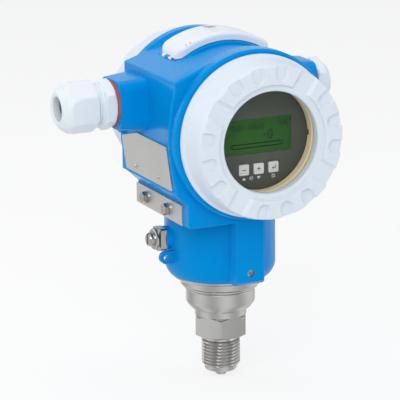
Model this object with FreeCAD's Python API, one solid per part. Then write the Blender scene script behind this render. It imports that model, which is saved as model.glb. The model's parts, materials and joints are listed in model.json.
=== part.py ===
"""Pressure transmitter with a two-compartment die-cast housing.

Frame: the origin is the centre of the hexagon's underside, the face that comes
down on the process fitting.  +Z is up, the display faces -Y, and +X is to the
right of someone reading it.  All sizes are millimetres.

Under the origin is a G 1/2 thread with its gauge spigot, above it the measuring
cell, and on top a housing whose round compartments lie along Y.  The front one
holds the electronics and the display behind a screwed window cover, the back
one the cable terminals behind a blind screwed cover.  The left side of the
housing is flat and carries the plates, the right side is a plain barrel.
"""
import FreeCAD
import Part
import math
import os

V = FreeCAD.Vector

# ---------------------------------------------------------------- driving sizes
GAP = 0.3                     # clearance between pieces that move apart
AWAY = 60.0                   # reach of a cutting tool beyond all material

# process connection, stainless steel; its heights add up from the underside
THREAD_R = 10.4775            # G 1/2, 20.955 mm over the crests
THREAD_CHAMFER = 1.0
THREAD_END = -16.6            # lowest full crest
UNDERCUT_D = 1.58
UNDERCUT_H = 3.2
COLLAR_D = 1.73               # plain end below the thread, set in by this
COLLAR_H = 3.4
COLLAR_END = THREAD_END - COLLAR_H
PIN_R = 3.0
PIN_END = COLLAR_END - 3.0
PORT_R = 1.5
HEX_AF = 27.0
HEX_H = 11.6
HEX_TURN = -115.0             # one corner's direction, seen from above
NECK_R = HEX_AF / 2 + 0.5
CONE_START = HEX_H + 0.6
CUP_R = 18.7                  # turned cup that holds the measuring cell
CUP_LOW = CONE_START + 7.6
CUP_TOP = CUP_LOW + 6.5
CUP_WALL = 6.7
CELL_BORE_R = CUP_R - CUP_WALL
CELL_FLOOR = CONE_START + 2.8
CELL_H = 7.0
PIN_LEN = 8.0                 # contact pins between the cell and its board
BOARD_T = 1.6

# sensor body, welded to the cup, carries the housing
RING_LOW_R = CUP_R + 1.5
RING_R = RING_LOW_R + 1.5
RING_MID = CUP_TOP + 2.5
RING_TOP = RING_MID + 4.1
RIM_R = RING_R + 4.2
RIM_TOP = RING_TOP + 2.1
SPIGOT_R = RIM_R - 1.9
SPIGOT_WALL = 4.5
SPIGOT_TOP = RIM_TOP + 16.5
SPIGOT_FIT = 0.08             # running clearance of the housing on the spigot
SPIGOT_SEAL_Z = RIM_TOP + 3.2
SPIGOT_SEAL_R = 0.8           # O-ring in the spigot
LOCK_Z = RIM_TOP + 8.0        # set screw height
LOCK_GROOVE_H = 3.6
LOCK_GROOVE_D = 1.3
LOCK_SCREW_R = 1.9

# screwed covers, from the thread outwards and inwards
COVER_THREAD_R = 38.0
COVER_THREAD_LEN = 12.0
SEAT_GAP = 0.3
FLANGE_R = COVER_THREAD_R + 5.0
FLANGE_H = 3.3
SKIRT_R = FLANGE_R - 1.4
SKIRT_TOP_R = SKIRT_R - 1.0
RIM_H = 19.2                  # window rim, above the housing's face
LUG_H = 1.7                   # how far the four grip sectors stand out
LUG_OUT_R = SKIRT_TOP_R - 0.7
LUG_IN_R = LUG_OUT_R - 9.6
SLOT_W = 8.4                  # tool slots between the sectors
SLOT_DRAFT = 1.5
SLOT_ANGLE = 57.5
POCKET_W = 6.4
POCKET_STEP = 21.0
POCKET_R = LUG_OUT_R - 4.3    # where the pockets' round ends are centred
POCKET_D = 1.5
WINDOW_R = LUG_IN_R - 3.6
GLASS_R = WINDOW_R + 3.3
GLASS_T = 3.8
LIP_T = 4.9
RETAINER_R = GLASS_R + 1.2
RETAINER_IN_R = WINDOW_R + 0.9
RETAINER_H = 4.9
FACE_GAP = 0.1                # pane to its lip and to its retainer
BLIND_WALL = 3.5              # end wall of the cover without a window
COVER_WALL_R = RETAINER_R + 2.0
SEAL_R = 0.7
SEAL_GROOVE_R = COVER_THREAD_R - 1.7
SEAL_Z = -2.2

# housing, its heights measured from the axis of the two compartments
AXIS_Z = RIM_TOP + 84.0
FRONT_FACE = -43.6            # face that the front cover screws down to
REAR_FACE = 33.4
CHAMBER_R = COVER_THREAD_R - 1.4
COLLAR_OUT_R = COVER_THREAD_R + 7.2
COLLAR_LEN = 7.5
COLLAR_FLARE = 5.0
COLLAR_EDGE = 1.0
ARCH_R = COVER_THREAD_R + 3.8         # barrel and arched top
FRONT_RIM_R = COLLAR_OUT_R - 0.4      # the same behind the front collar
FRONT_RIM_LEN = 6.5
BLOCK_FRONT = FRONT_FACE + 5.6
BLOCK_REAR = REAR_FACE - 5.4
SIDE_X = COVER_THREAD_R + 4.3         # flat left side that carries the nameplate
LOW_SIDE_X = SIDE_X - 6.9     # lower, set-in part of that side
SHOULDER_Z = AXIS_Z + SIDE_X - 11.8   # upper corner of the flat side
SIDE_BOTTOM = AXIS_Z - SIDE_X + 13.3
LOW_SIDE_TOP = SIDE_BOTTOM - 6.4
BLOCK_BOTTOM = AXIS_Z - COLLAR_OUT_R - 2.6
BLOCK_RIGHT_X = 10.0          # where the flat bottom ends and rises to the barrel
FRONT_ROUND = 1.3
SIDE_FLARE_OUT = 4.6          # swelling of the left side behind the front face
SIDE_FLARE_LEN = 10.5
NECK_OUT_R = SPIGOT_R + 5.8
NECK_BOTTOM = RIM_TOP + GAP
NECK_ROUND = 6.0
LOCK_PAD_W = 16.4
LOCK_PAD_BOTTOM = NECK_BOTTOM + 3.3
WALL_FRONT = -4.0             # partition between the two compartments
WALL_T = 4.0
WALL_REAR = WALL_FRONT + WALL_T
SOCKET_TOP = SPIGOT_TOP + 0.5
CABLE_WAY_R = 7.0             # passage from the neck up to the electronics
CABLE_WAY_Y = WALL_FRONT - 10.0

# cable entries, M20 x 1.5
ENTRY_R = 10.0
ENTRY_Y = 10.0
ENTRY_Z = AXIS_Z + 12.3
ENTRY_X = SIDE_X + 15.2
BOSS_W = 25.8
BOSS_TAPER = 0.1013           # growth of the half width per millimetre inwards
BOSS_ROOT_X = SIDE_X - 14.0
BOSS_ROUND = 5.5

# key hood on top, its radii stacked on the arch
PAD_R = ARCH_R + 1.8
PAD_RIM = 1.5
PAD_CHAMFER = 0.9
HOOD_X = 27.3
HOOD_FRONT = -8.0
HOOD_REAR = HOOD_FRONT + 23.0
HOOD_R = PAD_R + 4.6
HOOD_END_ROUND = 7.0
HOOD_EDGE_ROUND = 2.0
HOOD_WALL = 2.0
HOOD_CORNER = 5.0
HINGE_X = -HOOD_X - 0.3
HINGE_LIFT = 0.2              # hinge pin above the roof
HINGE_R = 1.0
HINGE_PIN_R = 0.5
KNUCKLE_W = 3.0
KNUCKLES_Y = ((HOOD_FRONT + 6.0, HOOD_FRONT + 6.0 + KNUCKLE_W),
              (HOOD_REAR - 6.0 - KNUCKLE_W, HOOD_REAR - 6.0))
KEY_Y = HOOD_FRONT + 9.0
KEY_STEP = 12.0
KEY_R = 3.0
KEY_DECK = AXIS_Z + PAD_R - 3.2       # floor of the sunk key field
KEY_TOP = KEY_DECK + 2.6
KEY_FIELD = 4.6               # half width of the sunk field
KEY_WELL = 3.0
KEY_TRAVEL = 1.2
HOOD_SCREW_Y = HOOD_REAR - 5.0
HOOD_SHANK_R = 1.5
HOOD_HEAD_R = 3.0
HOOD_SCREW_LOW = KEY_DECK - 0.4
HOOD_SEAT_Z = AXIS_Z + HOOD_R - 2.0
GROOVES_X = (HOOD_X - 5.8, HOOD_X - 8.0)
GROOVE_W = 0.7

# display module, its face a little behind the cover's retaining ring
DISPLAY_GAP = 1.6
DISPLAY_FACE = FRONT_FACE - RIM_H + LIP_T + GLASS_T + RETAINER_H + 2 * FACE_GAP + DISPLAY_GAP
DISPLAY_R = COVER_WALL_R - 2.6
DISPLAY_BACK = FRONT_FACE + 10.6
LCD_W = 37.8
LCD_H = 18.2
LCD_Z = AXIS_Z + 0.6
LCD_SUNK = 0.8
LCD_T = 2.2
LCD_FIT = 0.05
DKEY_SIZE = 5.7
DKEY_STEP = 8.5
DKEY_Z = AXIS_Z - 16.8
DKEY_WELL = 2.2
DKEY_OUT = 0.3
DKEY_TRAVEL = 0.5
STOP_GAP = 0.2                # a pressed key's clearance to its floor
HOLDER_FACE = DISPLAY_BACK + GAP
HOLDER_LEG_T = 2.0
INSERT_R_MAX = CHAMBER_R - 3.0
INSERT_FACE = DISPLAY_BACK + 6.0
INSERT_SCREW_R = INSERT_R_MAX - 3.6
INSERT_SCREW_SHANK_R = 1.6
INSERT_SCREW_ANGLES = (42.0, 138.0, 270.0)

# rear compartment
FILTER_R = CHAMBER_R - 2.6
FILTER_T = 7.0
TERMINAL_BACK = WALL_REAR + FILTER_T
TERMINAL_D = 12.0
TERMINAL_FACE = TERMINAL_BACK + TERMINAL_D
TERMINAL_STEP = 7.0
TERMINAL_COUNT = 5
TERMINAL_LOW = AXIS_Z - 12.0
TERMINAL_HIGH = AXIS_Z + 5.0

# side plates and ground terminal
PLATE_T = 0.6
TAG_T = 1.0
TAG_LOW = BLOCK_BOTTOM + 0.6
TAG_TOP = LOW_SIDE_TOP - 1.0
TAG_SCREWS_Y = (13.8, -13.8)
TAG_SCREW_Z = (TAG_LOW + TAG_TOP) / 2
TAG_SCREW_R = 1.5
RIVETS_Y = (12.0, -16.0)
RIVET_R = 0.9
RIVET_Z = SIDE_BOTTOM + 5.5
GROUND_Y = 2.0
GROUND_SADDLE_T = 4.6
GROUND_WASHER_T = 1.6
GROUND_Z = NECK_BOTTOM + 21.7
GROUND_BOSS_R = 6.4
GROUND_SCREW_R = 2.0
GROUND_FACE_X = NECK_OUT_R + 2.6
EYE_X = NECK_OUT_R + 4.0
EYE_Y = -3.6
EYE_Z = NECK_BOTTOM + 12.4
EYE_R = 3.4
EYE_HOLE_R = 1.5
EYE_T = 2.6

# cable gland and plug
ENTRY_FIT = 0.05
SHANK_LEN = 9.0
SHANK_CHAMFER = 0.8
SEAL_RING_R = ENTRY_R + 2.2
GLAND_AF = 24.0
FLAT_UP = 30.0                # hexagon's turn that puts a flat on top
GLAND_SEAL_T = 1.5
GLAND_FLANGE_H = 6.0
GLAND_TOP = GLAND_SEAL_T + GLAND_FLANGE_H
GLAND_COLLAR_R = GLAND_AF / 2 - 0.3
PLUG_HEAD_H = 5.5
NUT_START = GLAND_TOP + 4.2
NUT_LEN = 19.3
NUT_END = NUT_START + NUT_LEN
NUT_AF = 25.0
NUT_MOUTH_R = 6.5
NUT_LIP = 4.2                 # inward flange that presses on the insert
INSERT_R = 7.0
INSERT_BORE_R = 4.3
GLAND_NOSE_R = INSERT_R + 3.2
GLAND_NOSE_END = NUT_START + 8.3


# ------------------------------------------------------------- shape helpers
def turned(points):
    """Solid of revolution about Z from (radius, height) points."""
    wire = Part.makePolygon([V(r, 0, z) for r, z in points + points[:1]])
    return Part.Face(wire).revolve(V(0, 0, 0), V(0, 0, 1), 360)


def tube(outer, inner, low, high):
    """Plain ring about Z."""
    ring = Part.makeCylinder(outer, high - low, V(0, 0, low))
    return ring.cut(Part.makeCylinder(inner, high - low + 2, V(0, 0, low - 1)))


def rod(radius, low, high, x=0.0, y=0.0):
    """Upright cylinder between two heights."""
    return Part.makeCylinder(radius, high - low, V(x, y, low))


def box(x0, x1, y0, y1, z0, z1):
    """Box between two corners."""
    return Part.makeBox(x1 - x0, y1 - y0, z1 - z0, V(x0, y0, z0))


def hexagon(across_flats, low, high, turn=0.0):
    """Hexagonal prism about Z whose corner points along the turn angle."""
    corner = across_flats / math.sqrt(3.0)
    ring = []
    for k in range(7):
        angle = math.radians(turn + 60.0 * k)
        ring.append(V(corner * math.cos(angle), corner * math.sin(angle), low))
    return Part.Face(Part.makePolygon(ring)).extrude(V(0, 0, high - low))


def chamfered_hexagon(across_flats, low, high, turn=0.0):
    """Hexagonal prism with its corners turned off at 30 degrees, both ends."""
    corner = across_flats / math.sqrt(3.0)
    flat = across_flats / 2.0 * 0.98
    drop = (corner - flat) * math.tan(math.radians(30.0))
    cone = turned([(0, low), (flat, low), (corner, low + drop), (corner, high - drop),
                   (flat, high), (0, high)])
    return hexagon(across_flats, low, high, turn).common(cone)


def rounded_outline(corners, radius):
    """Closed wire through the corners in one plane, each corner rounded."""
    count = len(corners)
    cuts = []
    for k in range(count):
        before = corners[k - 1]
        here = corners[k]
        after = corners[(k + 1) % count]
        to_before = (before - here).normalize()
        to_after = (after - here).normalize()
        half = to_before.getAngle(to_after) / 2.0
        reach = radius / math.tan(half)
        middle = (to_before + to_after).normalize()
        centre = here + middle * (radius / math.sin(half))
        cuts.append((here + to_before * reach, centre - middle * radius, here + to_after * reach))
    edges = []
    for k in range(count):
        start, top, end = cuts[k]
        edges.append(Part.Arc(start, top, end).toShape())
        edges.append(Part.makeLine(end, cuts[(k + 1) % count][0]))
    return Part.Wire(edges)


def rounded_plan(x0, x1, y0, y1, radius, low, high):
    """Upright block with rounded corners in plan."""
    corners = [V(x0, y0, low), V(x1, y0, low), V(x1, y1, low), V(x0, y1, low)]
    return Part.Face(rounded_outline(corners, radius)).extrude(V(0, 0, high - low))


def facing_front(shape, face_y=0.0):
    """Turn local +Z to -Y about the compartments' axis, local 0 at face_y."""
    turn = FreeCAD.Rotation(V(1, 0, 0), 90)
    return shape.transformed(FreeCAD.Placement(V(0, face_y, AXIS_Z), turn).toMatrix())


def facing_rear(shape, face_y=0.0):
    """Turn local +Z to +Y about the compartments' axis, local 0 at face_y."""
    turn = FreeCAD.Rotation(V(1, 0, 0), -90)
    return shape.transformed(FreeCAD.Placement(V(0, face_y, AXIS_Z), turn).toMatrix())


def facing_side(shape, side, x, y, z):
    """Turn local +Z outwards along side * X, local origin at (side * x, y, z)."""
    turn = FreeCAD.Rotation(V(0, 0, 1), V(side, 0, 0))
    return shape.transformed(FreeCAD.Placement(V(side * x, y, z), turn).toMatrix())


def along_y(radius, y0, y1, x=0.0, z=AXIS_Z):
    """Cylinder along Y."""
    return Part.makeCylinder(radius, y1 - y0, V(x, y0, z), V(0, 1, 0))


def along_x(radius, x0, x1, y, z):
    """Cylinder along X."""
    return Part.makeCylinder(radius, x1 - x0, V(x0, y, z), V(1, 0, 0))


def seal_ring(middle_r, radius, height):
    """O-ring about Z as a turned ring of eight facets."""
    points = []
    for k in range(8):
        angle = math.radians(22.5 + 45.0 * k)
        points.append((middle_r + radius * math.cos(angle), height + radius * math.sin(angle)))
    return turned(points)


def fuse(shapes):
    """One solid from several that meet, with the seams between them removed."""
    whole = shapes[0].multiFuse(shapes[1:])
    return whole.removeSplitter()


# ------------------------------------------------------------ process connection
def process_connection():
    """Hexagon, thread, spigot and the cup that holds the measuring cell."""
    undercut_r = THREAD_R - UNDERCUT_D
    collar_r = THREAD_R - COLLAR_D
    lower = turned([
        (0, PIN_END), (PIN_R - 0.4, PIN_END), (PIN_R, PIN_END + 0.4), (PIN_R, COLLAR_END),
        (collar_r - 1.2, COLLAR_END), (collar_r, COLLAR_END + 1.2), (collar_r, THREAD_END - 0.6),
        (THREAD_R - THREAD_CHAMFER, THREAD_END - 0.6), (THREAD_R, THREAD_END - 0.6 + THREAD_CHAMFER),
        (THREAD_R, -UNDERCUT_H), (undercut_r, 1.0 - UNDERCUT_H), (undercut_r, 0.0), (0, 0.0)])
    nut = chamfered_hexagon(HEX_AF, 0.0, HEX_H, HEX_TURN)
    cup = turned([
        (0, HEX_H - 1.0), (NECK_R, HEX_H - 1.0), (NECK_R, CONE_START), (CUP_R - 0.6, CUP_LOW - 0.8),
        (CUP_R, CUP_LOW + 0.4), (CUP_R, CUP_TOP), (0, CUP_TOP)])
    cell_room = rod(CELL_BORE_R, CELL_FLOOR, CUP_TOP + 1)
    port = rod(PORT_R, PIN_END - 1, CELL_FLOOR + 1)
    return fuse([lower, nut, cup]).cut(cell_room).cut(port)


def sensor_body():
    """Stepped ring above the cup and the hollow spigot that enters the housing."""
    inner = SPIGOT_R - SPIGOT_WALL
    lock_low = LOCK_Z - LOCK_GROOVE_H / 2
    lock_high = LOCK_Z + LOCK_GROOVE_H / 2
    seal_low = SPIGOT_SEAL_Z - SPIGOT_SEAL_R - 0.3
    seal_high = SPIGOT_SEAL_Z + SPIGOT_SEAL_R + 0.3
    groove_r = SPIGOT_R - 2 * SPIGOT_SEAL_R - 0.2
    return turned([
        (CELL_BORE_R, CUP_TOP), (CUP_R, CUP_TOP), (RING_LOW_R, CUP_TOP + 1.2),
        (RING_LOW_R, RING_MID - 0.5), (RING_LOW_R - 0.6, RING_MID - 0.5), (RING_LOW_R - 0.6, RING_MID),
        (RING_R - 0.6, RING_MID), (RING_R, RING_MID + 0.6), (RING_R, RING_TOP),
        (RIM_R - 1.2, RING_TOP + 0.3), (RIM_R, RIM_TOP - 0.8),
        (RIM_R, RIM_TOP), (SPIGOT_R, RIM_TOP), (SPIGOT_R, seal_low), (groove_r, seal_low),
        (groove_r, seal_high), (SPIGOT_R, seal_high), (SPIGOT_R, lock_low),
        (SPIGOT_R - LOCK_GROOVE_D, lock_low + 0.3), (SPIGOT_R - LOCK_GROOVE_D, lock_high - 0.3),
        (SPIGOT_R, lock_high), (SPIGOT_R, SPIGOT_TOP - 1.0), (SPIGOT_R - 1.0, SPIGOT_TOP),
        (inner, SPIGOT_TOP), (inner, CUP_TOP + 4.0), (CELL_BORE_R, CUP_TOP + 4.0)])


def measuring_cell():
    """Oil-filled cell: thick rim, dished steel diaphragm below, header above."""
    rim_r = CELL_BORE_R - 0.05
    low = CELL_FLOOR
    top = CELL_FLOOR + CELL_H
    return turned([
        (0, low + 1.0), (rim_r - 3.5, low + 1.0), (rim_r - 2.5, low), (rim_r, low), (rim_r, top - 1.5),
        (rim_r - 1.5, top), (0, top)])


def cell_pins():
    """Eight contact pins in a ring, standing on the measuring cell."""
    low = CELL_FLOOR + CELL_H
    circle_r = 5.5
    pins = []
    for k in range(8):
        angle = math.radians(45.0 * k)
        pins.append(rod(0.5, low, low + PIN_LEN, circle_r * math.cos(angle), circle_r * math.sin(angle)))
    return Part.makeCompound(pins)


def sensor_board():
    """Round board on the pins, with its plug socket on top."""
    low = CELL_FLOOR + CELL_H + PIN_LEN
    top = low + BOARD_T
    disc = rod(CELL_BORE_R - 0.5, low, top)
    socket = box(-5, 5, -3, 3, top, top + 6.0)
    key = box(-1.5, 1.5, 3, 4.2, top, top + 6.0)
    return fuse([disc, socket, key])


def spigot_seal():
    """O-ring in the spigot's groove."""
    return seal_ring(SPIGOT_R - SPIGOT_SEAL_R - 0.15, SPIGOT_SEAL_R, SPIGOT_SEAL_Z)


# ----------------------------------------------------------------------- housing
def arch_touch(arch):
    """Angle at which the roof's slope touches the arch, seen from the axis."""
    reach = math.hypot(SIDE_X, SHOULDER_Z - AXIS_Z)
    toward = math.atan2(SHOULDER_Z - AXIS_Z, SIDE_X)
    return toward + math.acos(arch / reach)


def roof_height(x):
    """Height of the main block's left roof slope at a distance from the middle."""
    touch = arch_touch(ARCH_R)
    return AXIS_Z + (ARCH_R - abs(x) * math.cos(touch)) / math.sin(touch)


def block_outline(arch, side, grow=0.0):
    """Cross-section of the housing's block in the plane Y = 0.

    An arc about the compartments' axis forms the top and the right side.  On the
    left a slope runs down from it, tangent, to the corner of the flat side.  On
    the right the bottom rises, tangent again, into the arc."""
    touch = arch_touch(arch)
    top = arch + grow
    bottom = BLOCK_BOTTOM - grow
    low_side = LOW_SIDE_X + grow
    left = V(-top * math.cos(touch), 0, AXIS_Z + top * math.sin(touch))
    corner_z = left.z - (side + left.x) / math.tan(touch)
    undercut = (SIDE_BOTTOM - LOW_SIDE_TOP) / (SIDE_X - LOW_SIDE_X)
    under_z = LOW_SIDE_TOP + (side - LOW_SIDE_X) * undercut
    reach = math.hypot(BLOCK_RIGHT_X, bottom - AXIS_Z)
    rise = math.atan2(bottom - AXIS_Z, BLOCK_RIGHT_X) + math.acos(top / reach)
    right = V(top * math.cos(rise), 0, AXIS_Z + top * math.sin(rise))
    turning = math.radians(45.0)
    way = V(top * math.cos(turning), 0, AXIS_Z + top * math.sin(turning))
    points = [left, V(-side, 0, corner_z), V(-side, 0, under_z), V(-low_side, 0, LOW_SIDE_TOP),
              V(-low_side, 0, bottom), V(BLOCK_RIGHT_X, 0, bottom), right]
    edges = []
    for first, second in zip(points, points[1:]):
        edges.append(Part.makeLine(first, second))
    edges.append(Part.Arc(right, way, left).toShape())
    return Part.Wire(edges)


def block_slice(arch, front, rear, side=SIDE_X, grow=0.0):
    """Length of the block between two planes across Y."""
    face = Part.Face(block_outline(arch, side, grow))
    face.translate(V(0, front, 0))
    return face.extrude(V(0, rear - front, 0))


def side_flare():
    """Swelling of the flat side behind the front face, which runs out to the rear.

    Its skin is part of a large cylinder that leans into the side."""
    lean = math.hypot(SIDE_FLARE_OUT, SIDE_FLARE_LEN)
    inwards = V(SIDE_FLARE_LEN / lean, -SIDE_FLARE_OUT / lean, 0)
    rearwards = V(SIDE_FLARE_OUT / lean, SIDE_FLARE_LEN / lean, 0)
    middle_z = (SHOULDER_Z + SIDE_BOTTOM) / 2
    half = SHOULDER_Z - middle_z
    radius = half ** 2 / (2 * SIDE_FLARE_OUT) + SIDE_FLARE_OUT / 2 + 1.5
    run_out = V(-SIDE_X, BLOCK_FRONT + SIDE_FLARE_LEN, middle_z)
    start = run_out + inwards * radius - rearwards * AWAY
    skin = Part.makeCylinder(radius, 2 * AWAY, start, rearwards)
    slab = block_slice(FRONT_RIM_R, BLOCK_FRONT, run_out.y + 2.0, SIDE_X + SIDE_FLARE_OUT + 1.0)
    left = box(-AWAY, -SIDE_X + 3.0, -AWAY, AWAY, SIDE_BOTTOM - 3.0, SHOULDER_Z + 3.0)
    return slab.common(left).common(skin)


def lock_pad():
    """Upright pad on the neck's front for the set screw, cut back at its foot."""
    half = LOCK_PAD_W / 2
    root = -NECK_OUT_R + 8.0
    outline = [V(-half, BLOCK_FRONT, LOCK_PAD_BOTTOM), V(-half, BLOCK_FRONT, BLOCK_BOTTOM + 1.0),
               V(-half, root, BLOCK_BOTTOM + 1.0), V(-half, root, NECK_BOTTOM + 1.2),
               V(-half, BLOCK_FRONT + 3.0, NECK_BOTTOM + 1.2)]
    return Part.Face(Part.makePolygon(outline + outline[:1])).extrude(V(LOCK_PAD_W, 0, 0))


def block():
    """Main block with its front rim, side flare and lock pad, its edges rounded."""
    rim_end = BLOCK_FRONT + FRONT_RIM_LEN
    solid = fuse([
        block_slice(ARCH_R, BLOCK_FRONT, BLOCK_REAR), block_slice(FRONT_RIM_R, BLOCK_FRONT, rim_end),
        side_flare(), lock_pad()])
    rounded = []
    for edge in solid.Edges:
        extent = edge.BoundBox
        if extent.YLength < 0.1:
            wanted = abs(extent.YMin - BLOCK_FRONT) < 0.1 or abs(extent.YMax - BLOCK_REAR) < 0.1
        else:
            wanted = extent.XMax < -LOW_SIDE_X + 1.0 and extent.YLength > (BLOCK_REAR - BLOCK_FRONT) / 2
        if wanted:
            rounded.append(edge)
    return solid.makeFillet(FRONT_ROUND, rounded)


def collar(face_y, inner_y, outwards):
    """Round collar that the cover screws into, flaring down to the block."""
    flare = inner_y - outwards * COLLAR_FLARE
    profile = [V(0, face_y, AXIS_Z), V(COLLAR_OUT_R - COLLAR_EDGE, face_y, AXIS_Z),
               V(COLLAR_OUT_R, face_y - outwards * COLLAR_EDGE, AXIS_Z), V(COLLAR_OUT_R, inner_y, AXIS_Z),
               V(COLLAR_OUT_R - COLLAR_FLARE, flare, AXIS_Z), V(0, flare, AXIS_Z)]
    wire = Part.makePolygon(profile + profile[:1])
    return Part.Face(wire).revolve(V(0, 0, AXIS_Z), V(0, 1, 0), 360)


def neck():
    """Round neck under the block, its lower edge drawn in by a large radius."""
    low = NECK_BOTTOM
    top = AXIS_Z - math.sqrt(CHAMBER_R ** 2 - NECK_OUT_R ** 2) - 4.0
    start = V(NECK_OUT_R - NECK_ROUND * 0.45, 0, low)
    mid = V(NECK_OUT_R - NECK_ROUND * 0.12, 0, low + NECK_ROUND * 0.5)
    end = V(NECK_OUT_R, 0, low + NECK_ROUND * 1.25)
    edges = [Part.makeLine(V(0, 0, low), start), Part.Arc(start, mid, end).toShape(),
             Part.makeLine(end, V(NECK_OUT_R, 0, top)), Part.makeLine(V(NECK_OUT_R, 0, top), V(0, 0, top)),
             Part.makeLine(V(0, 0, top), V(0, 0, low))]
    return Part.Face(Part.Wire(edges)).revolve(V(0, 0, 0), V(0, 0, 1), 360)


def entry_boss(side):
    """Square boss of a cable entry, widening from its face to its root."""
    sections = []
    for x in (ENTRY_X, BOSS_ROOT_X):
        half = BOSS_W / 2 + BOSS_TAPER * (ENTRY_X - x)
        corners = [V(side * x, ENTRY_Y - half, ENTRY_Z - half), V(side * x, ENTRY_Y + half, ENTRY_Z - half),
                   V(side * x, ENTRY_Y + half, ENTRY_Z + half), V(side * x, ENTRY_Y - half, ENTRY_Z + half)]
        sections.append(rounded_outline(corners, BOSS_ROUND))
    return Part.makeLoft(sections, True, True)


def hinge_height():
    """Height of the hood's hinge pin, just above the roof."""
    return roof_height(HINGE_X) + HINGE_LIFT


def hood_pad():
    """Raised seat under the key hood, its edges sloping out to the housing's arch."""
    plan = rounded_plan(-HOOD_X - PAD_RIM, HOOD_X + PAD_RIM, HOOD_FRONT - PAD_RIM, HOOD_REAR + PAD_RIM,
                        HOOD_CORNER + PAD_RIM, AXIS_Z + PAD_R / 2, AXIS_Z + PAD_R + 1.0)
    pad = plan.common(along_y(PAD_R, HOOD_FRONT - 2 * PAD_RIM, HOOD_REAR + 2 * PAD_RIM))
    rim = []
    for edge in pad.Edges:
        middle = edge.valueAt((edge.FirstParameter + edge.LastParameter) / 2)
        on_top = abs(math.hypot(middle.x, middle.z - AXIS_Z) - PAD_R) < 0.05
        if on_top and middle.z > AXIS_Z + PAD_R / 2 + 1.0:
            rim.append(edge)
    pad = pad.makeChamfer(PAD_CHAMFER, rim)
    ear = along_y(HINGE_R, KNUCKLES_Y[0][1] + GAP, KNUCKLES_Y[1][0] - GAP, HINGE_X, hinge_height())
    return fuse([pad, ear])


def ground_boss():
    """Round boss for the outer ground terminal."""
    return along_x(GROUND_BOSS_R, -GROUND_FACE_X, -NECK_OUT_R + 8, GROUND_Y, GROUND_Z)


def name_pad():
    """Flat that carries the nameplate out to the rear collar."""
    return box(-SIDE_X, -SIDE_X + 12.0, BLOCK_REAR - 4, REAR_FACE - 1.6, SIDE_BOTTOM, AXIS_Z - 9.0)


def sealing_eye():
    """Small flat eye for a seal wire, seated on the neck."""
    half = EYE_T / 2
    disc = along_y(EYE_R, EYE_Y - half, EYE_Y + half, -EYE_X, EYE_Z)
    root = box(-EYE_X, -NECK_OUT_R + 6, EYE_Y - half, EYE_Y + half, EYE_Z - EYE_R, EYE_Z + EYE_R)
    hole = along_y(EYE_HOLE_R, EYE_Y - EYE_T, EYE_Y + EYE_T, -EYE_X, EYE_Z)
    return fuse([disc, root]).cut(hole).cut(neck())


def housing():
    """Die-cast housing with both compartments, neck, bosses and pads."""
    front_inner = FRONT_FACE + COLLAR_LEN
    rear_inner = REAR_FACE - COLLAR_LEN + 2
    solid = fuse([
        block(), collar(FRONT_FACE, front_inner, -1), collar(REAR_FACE, rear_inner, 1), neck(),
        entry_boss(-1), entry_boss(1), hood_pad(), ground_boss(), name_pad()])
    thread_bore = COVER_THREAD_R + GAP
    thread_depth = COVER_THREAD_LEN + 1.5
    hinge_z = hinge_height()
    cuts = [
        box(-SIDE_X - 5, -SIDE_X, BLOCK_REAR - 4, REAR_FACE + 1, SIDE_BOTTOM - 3, AXIS_Z - 9.0),
        along_y(thread_bore, FRONT_FACE - 1, FRONT_FACE + thread_depth),
        along_y(CHAMBER_R, FRONT_FACE, WALL_FRONT),
        along_y(thread_bore, REAR_FACE - thread_depth, REAR_FACE + 1),
        along_y(CHAMBER_R, WALL_REAR, REAR_FACE),
        rod(SPIGOT_R + SPIGOT_FIT, NECK_BOTTOM - 1, SOCKET_TOP),
        rod(SPIGOT_R - SPIGOT_WALL, SOCKET_TOP - 1, SOCKET_TOP + 14),
        rod(CABLE_WAY_R, SOCKET_TOP + 10, AXIS_Z - CHAMBER_R + 4, 0, CABLE_WAY_Y),
        along_x(ENTRY_R, -ENTRY_X - 1, -CHAMBER_R + 6, ENTRY_Y, ENTRY_Z),
        along_x(ENTRY_R, CHAMBER_R - 6, ENTRY_X + 1, ENTRY_Y, ENTRY_Z),
        along_y(LOCK_SCREW_R + 0.1, BLOCK_FRONT - 1, -SPIGOT_R + 1, 0, LOCK_Z),
        along_x(GROUND_SCREW_R, -GROUND_FACE_X - 1, -GROUND_FACE_X + 9, GROUND_Y, GROUND_Z),
        rod(HOOD_SHANK_R + 0.6, HOOD_SCREW_LOW - 1.5, HOOD_SEAT_Z, 0, HOOD_SCREW_Y),
        along_y(HINGE_PIN_R, HOOD_FRONT, HOOD_REAR, HINGE_X, hinge_z),
        box(-KEY_STEP - KEY_FIELD - 0.9, KEY_STEP + KEY_FIELD + 0.9, KEY_Y - KEY_FIELD, KEY_Y + KEY_FIELD,
            KEY_DECK, KEY_DECK + AWAY)]
    for x in (-KEY_STEP, 0, KEY_STEP):
        cuts.append(rod(KEY_R + GAP, KEY_DECK - KEY_WELL, KEY_DECK + 1, x, KEY_Y))
    for low, high in KNUCKLES_Y:
        cuts.append(along_y(HINGE_R + GAP, low - GAP, high + GAP, HINGE_X, hinge_z))
    for y in TAG_SCREWS_Y:
        cuts.append(along_x(TAG_SCREW_R, -LOW_SIDE_X - 1, -LOW_SIDE_X + 6, y, TAG_SCREW_Z))
    for y in RIVETS_Y:
        cuts.append(along_x(RIVET_R, -SIDE_X - 1, -SIDE_X + 3.5, y, RIVET_Z))
    return solid.cut(Part.makeCompound(cuts))


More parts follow.
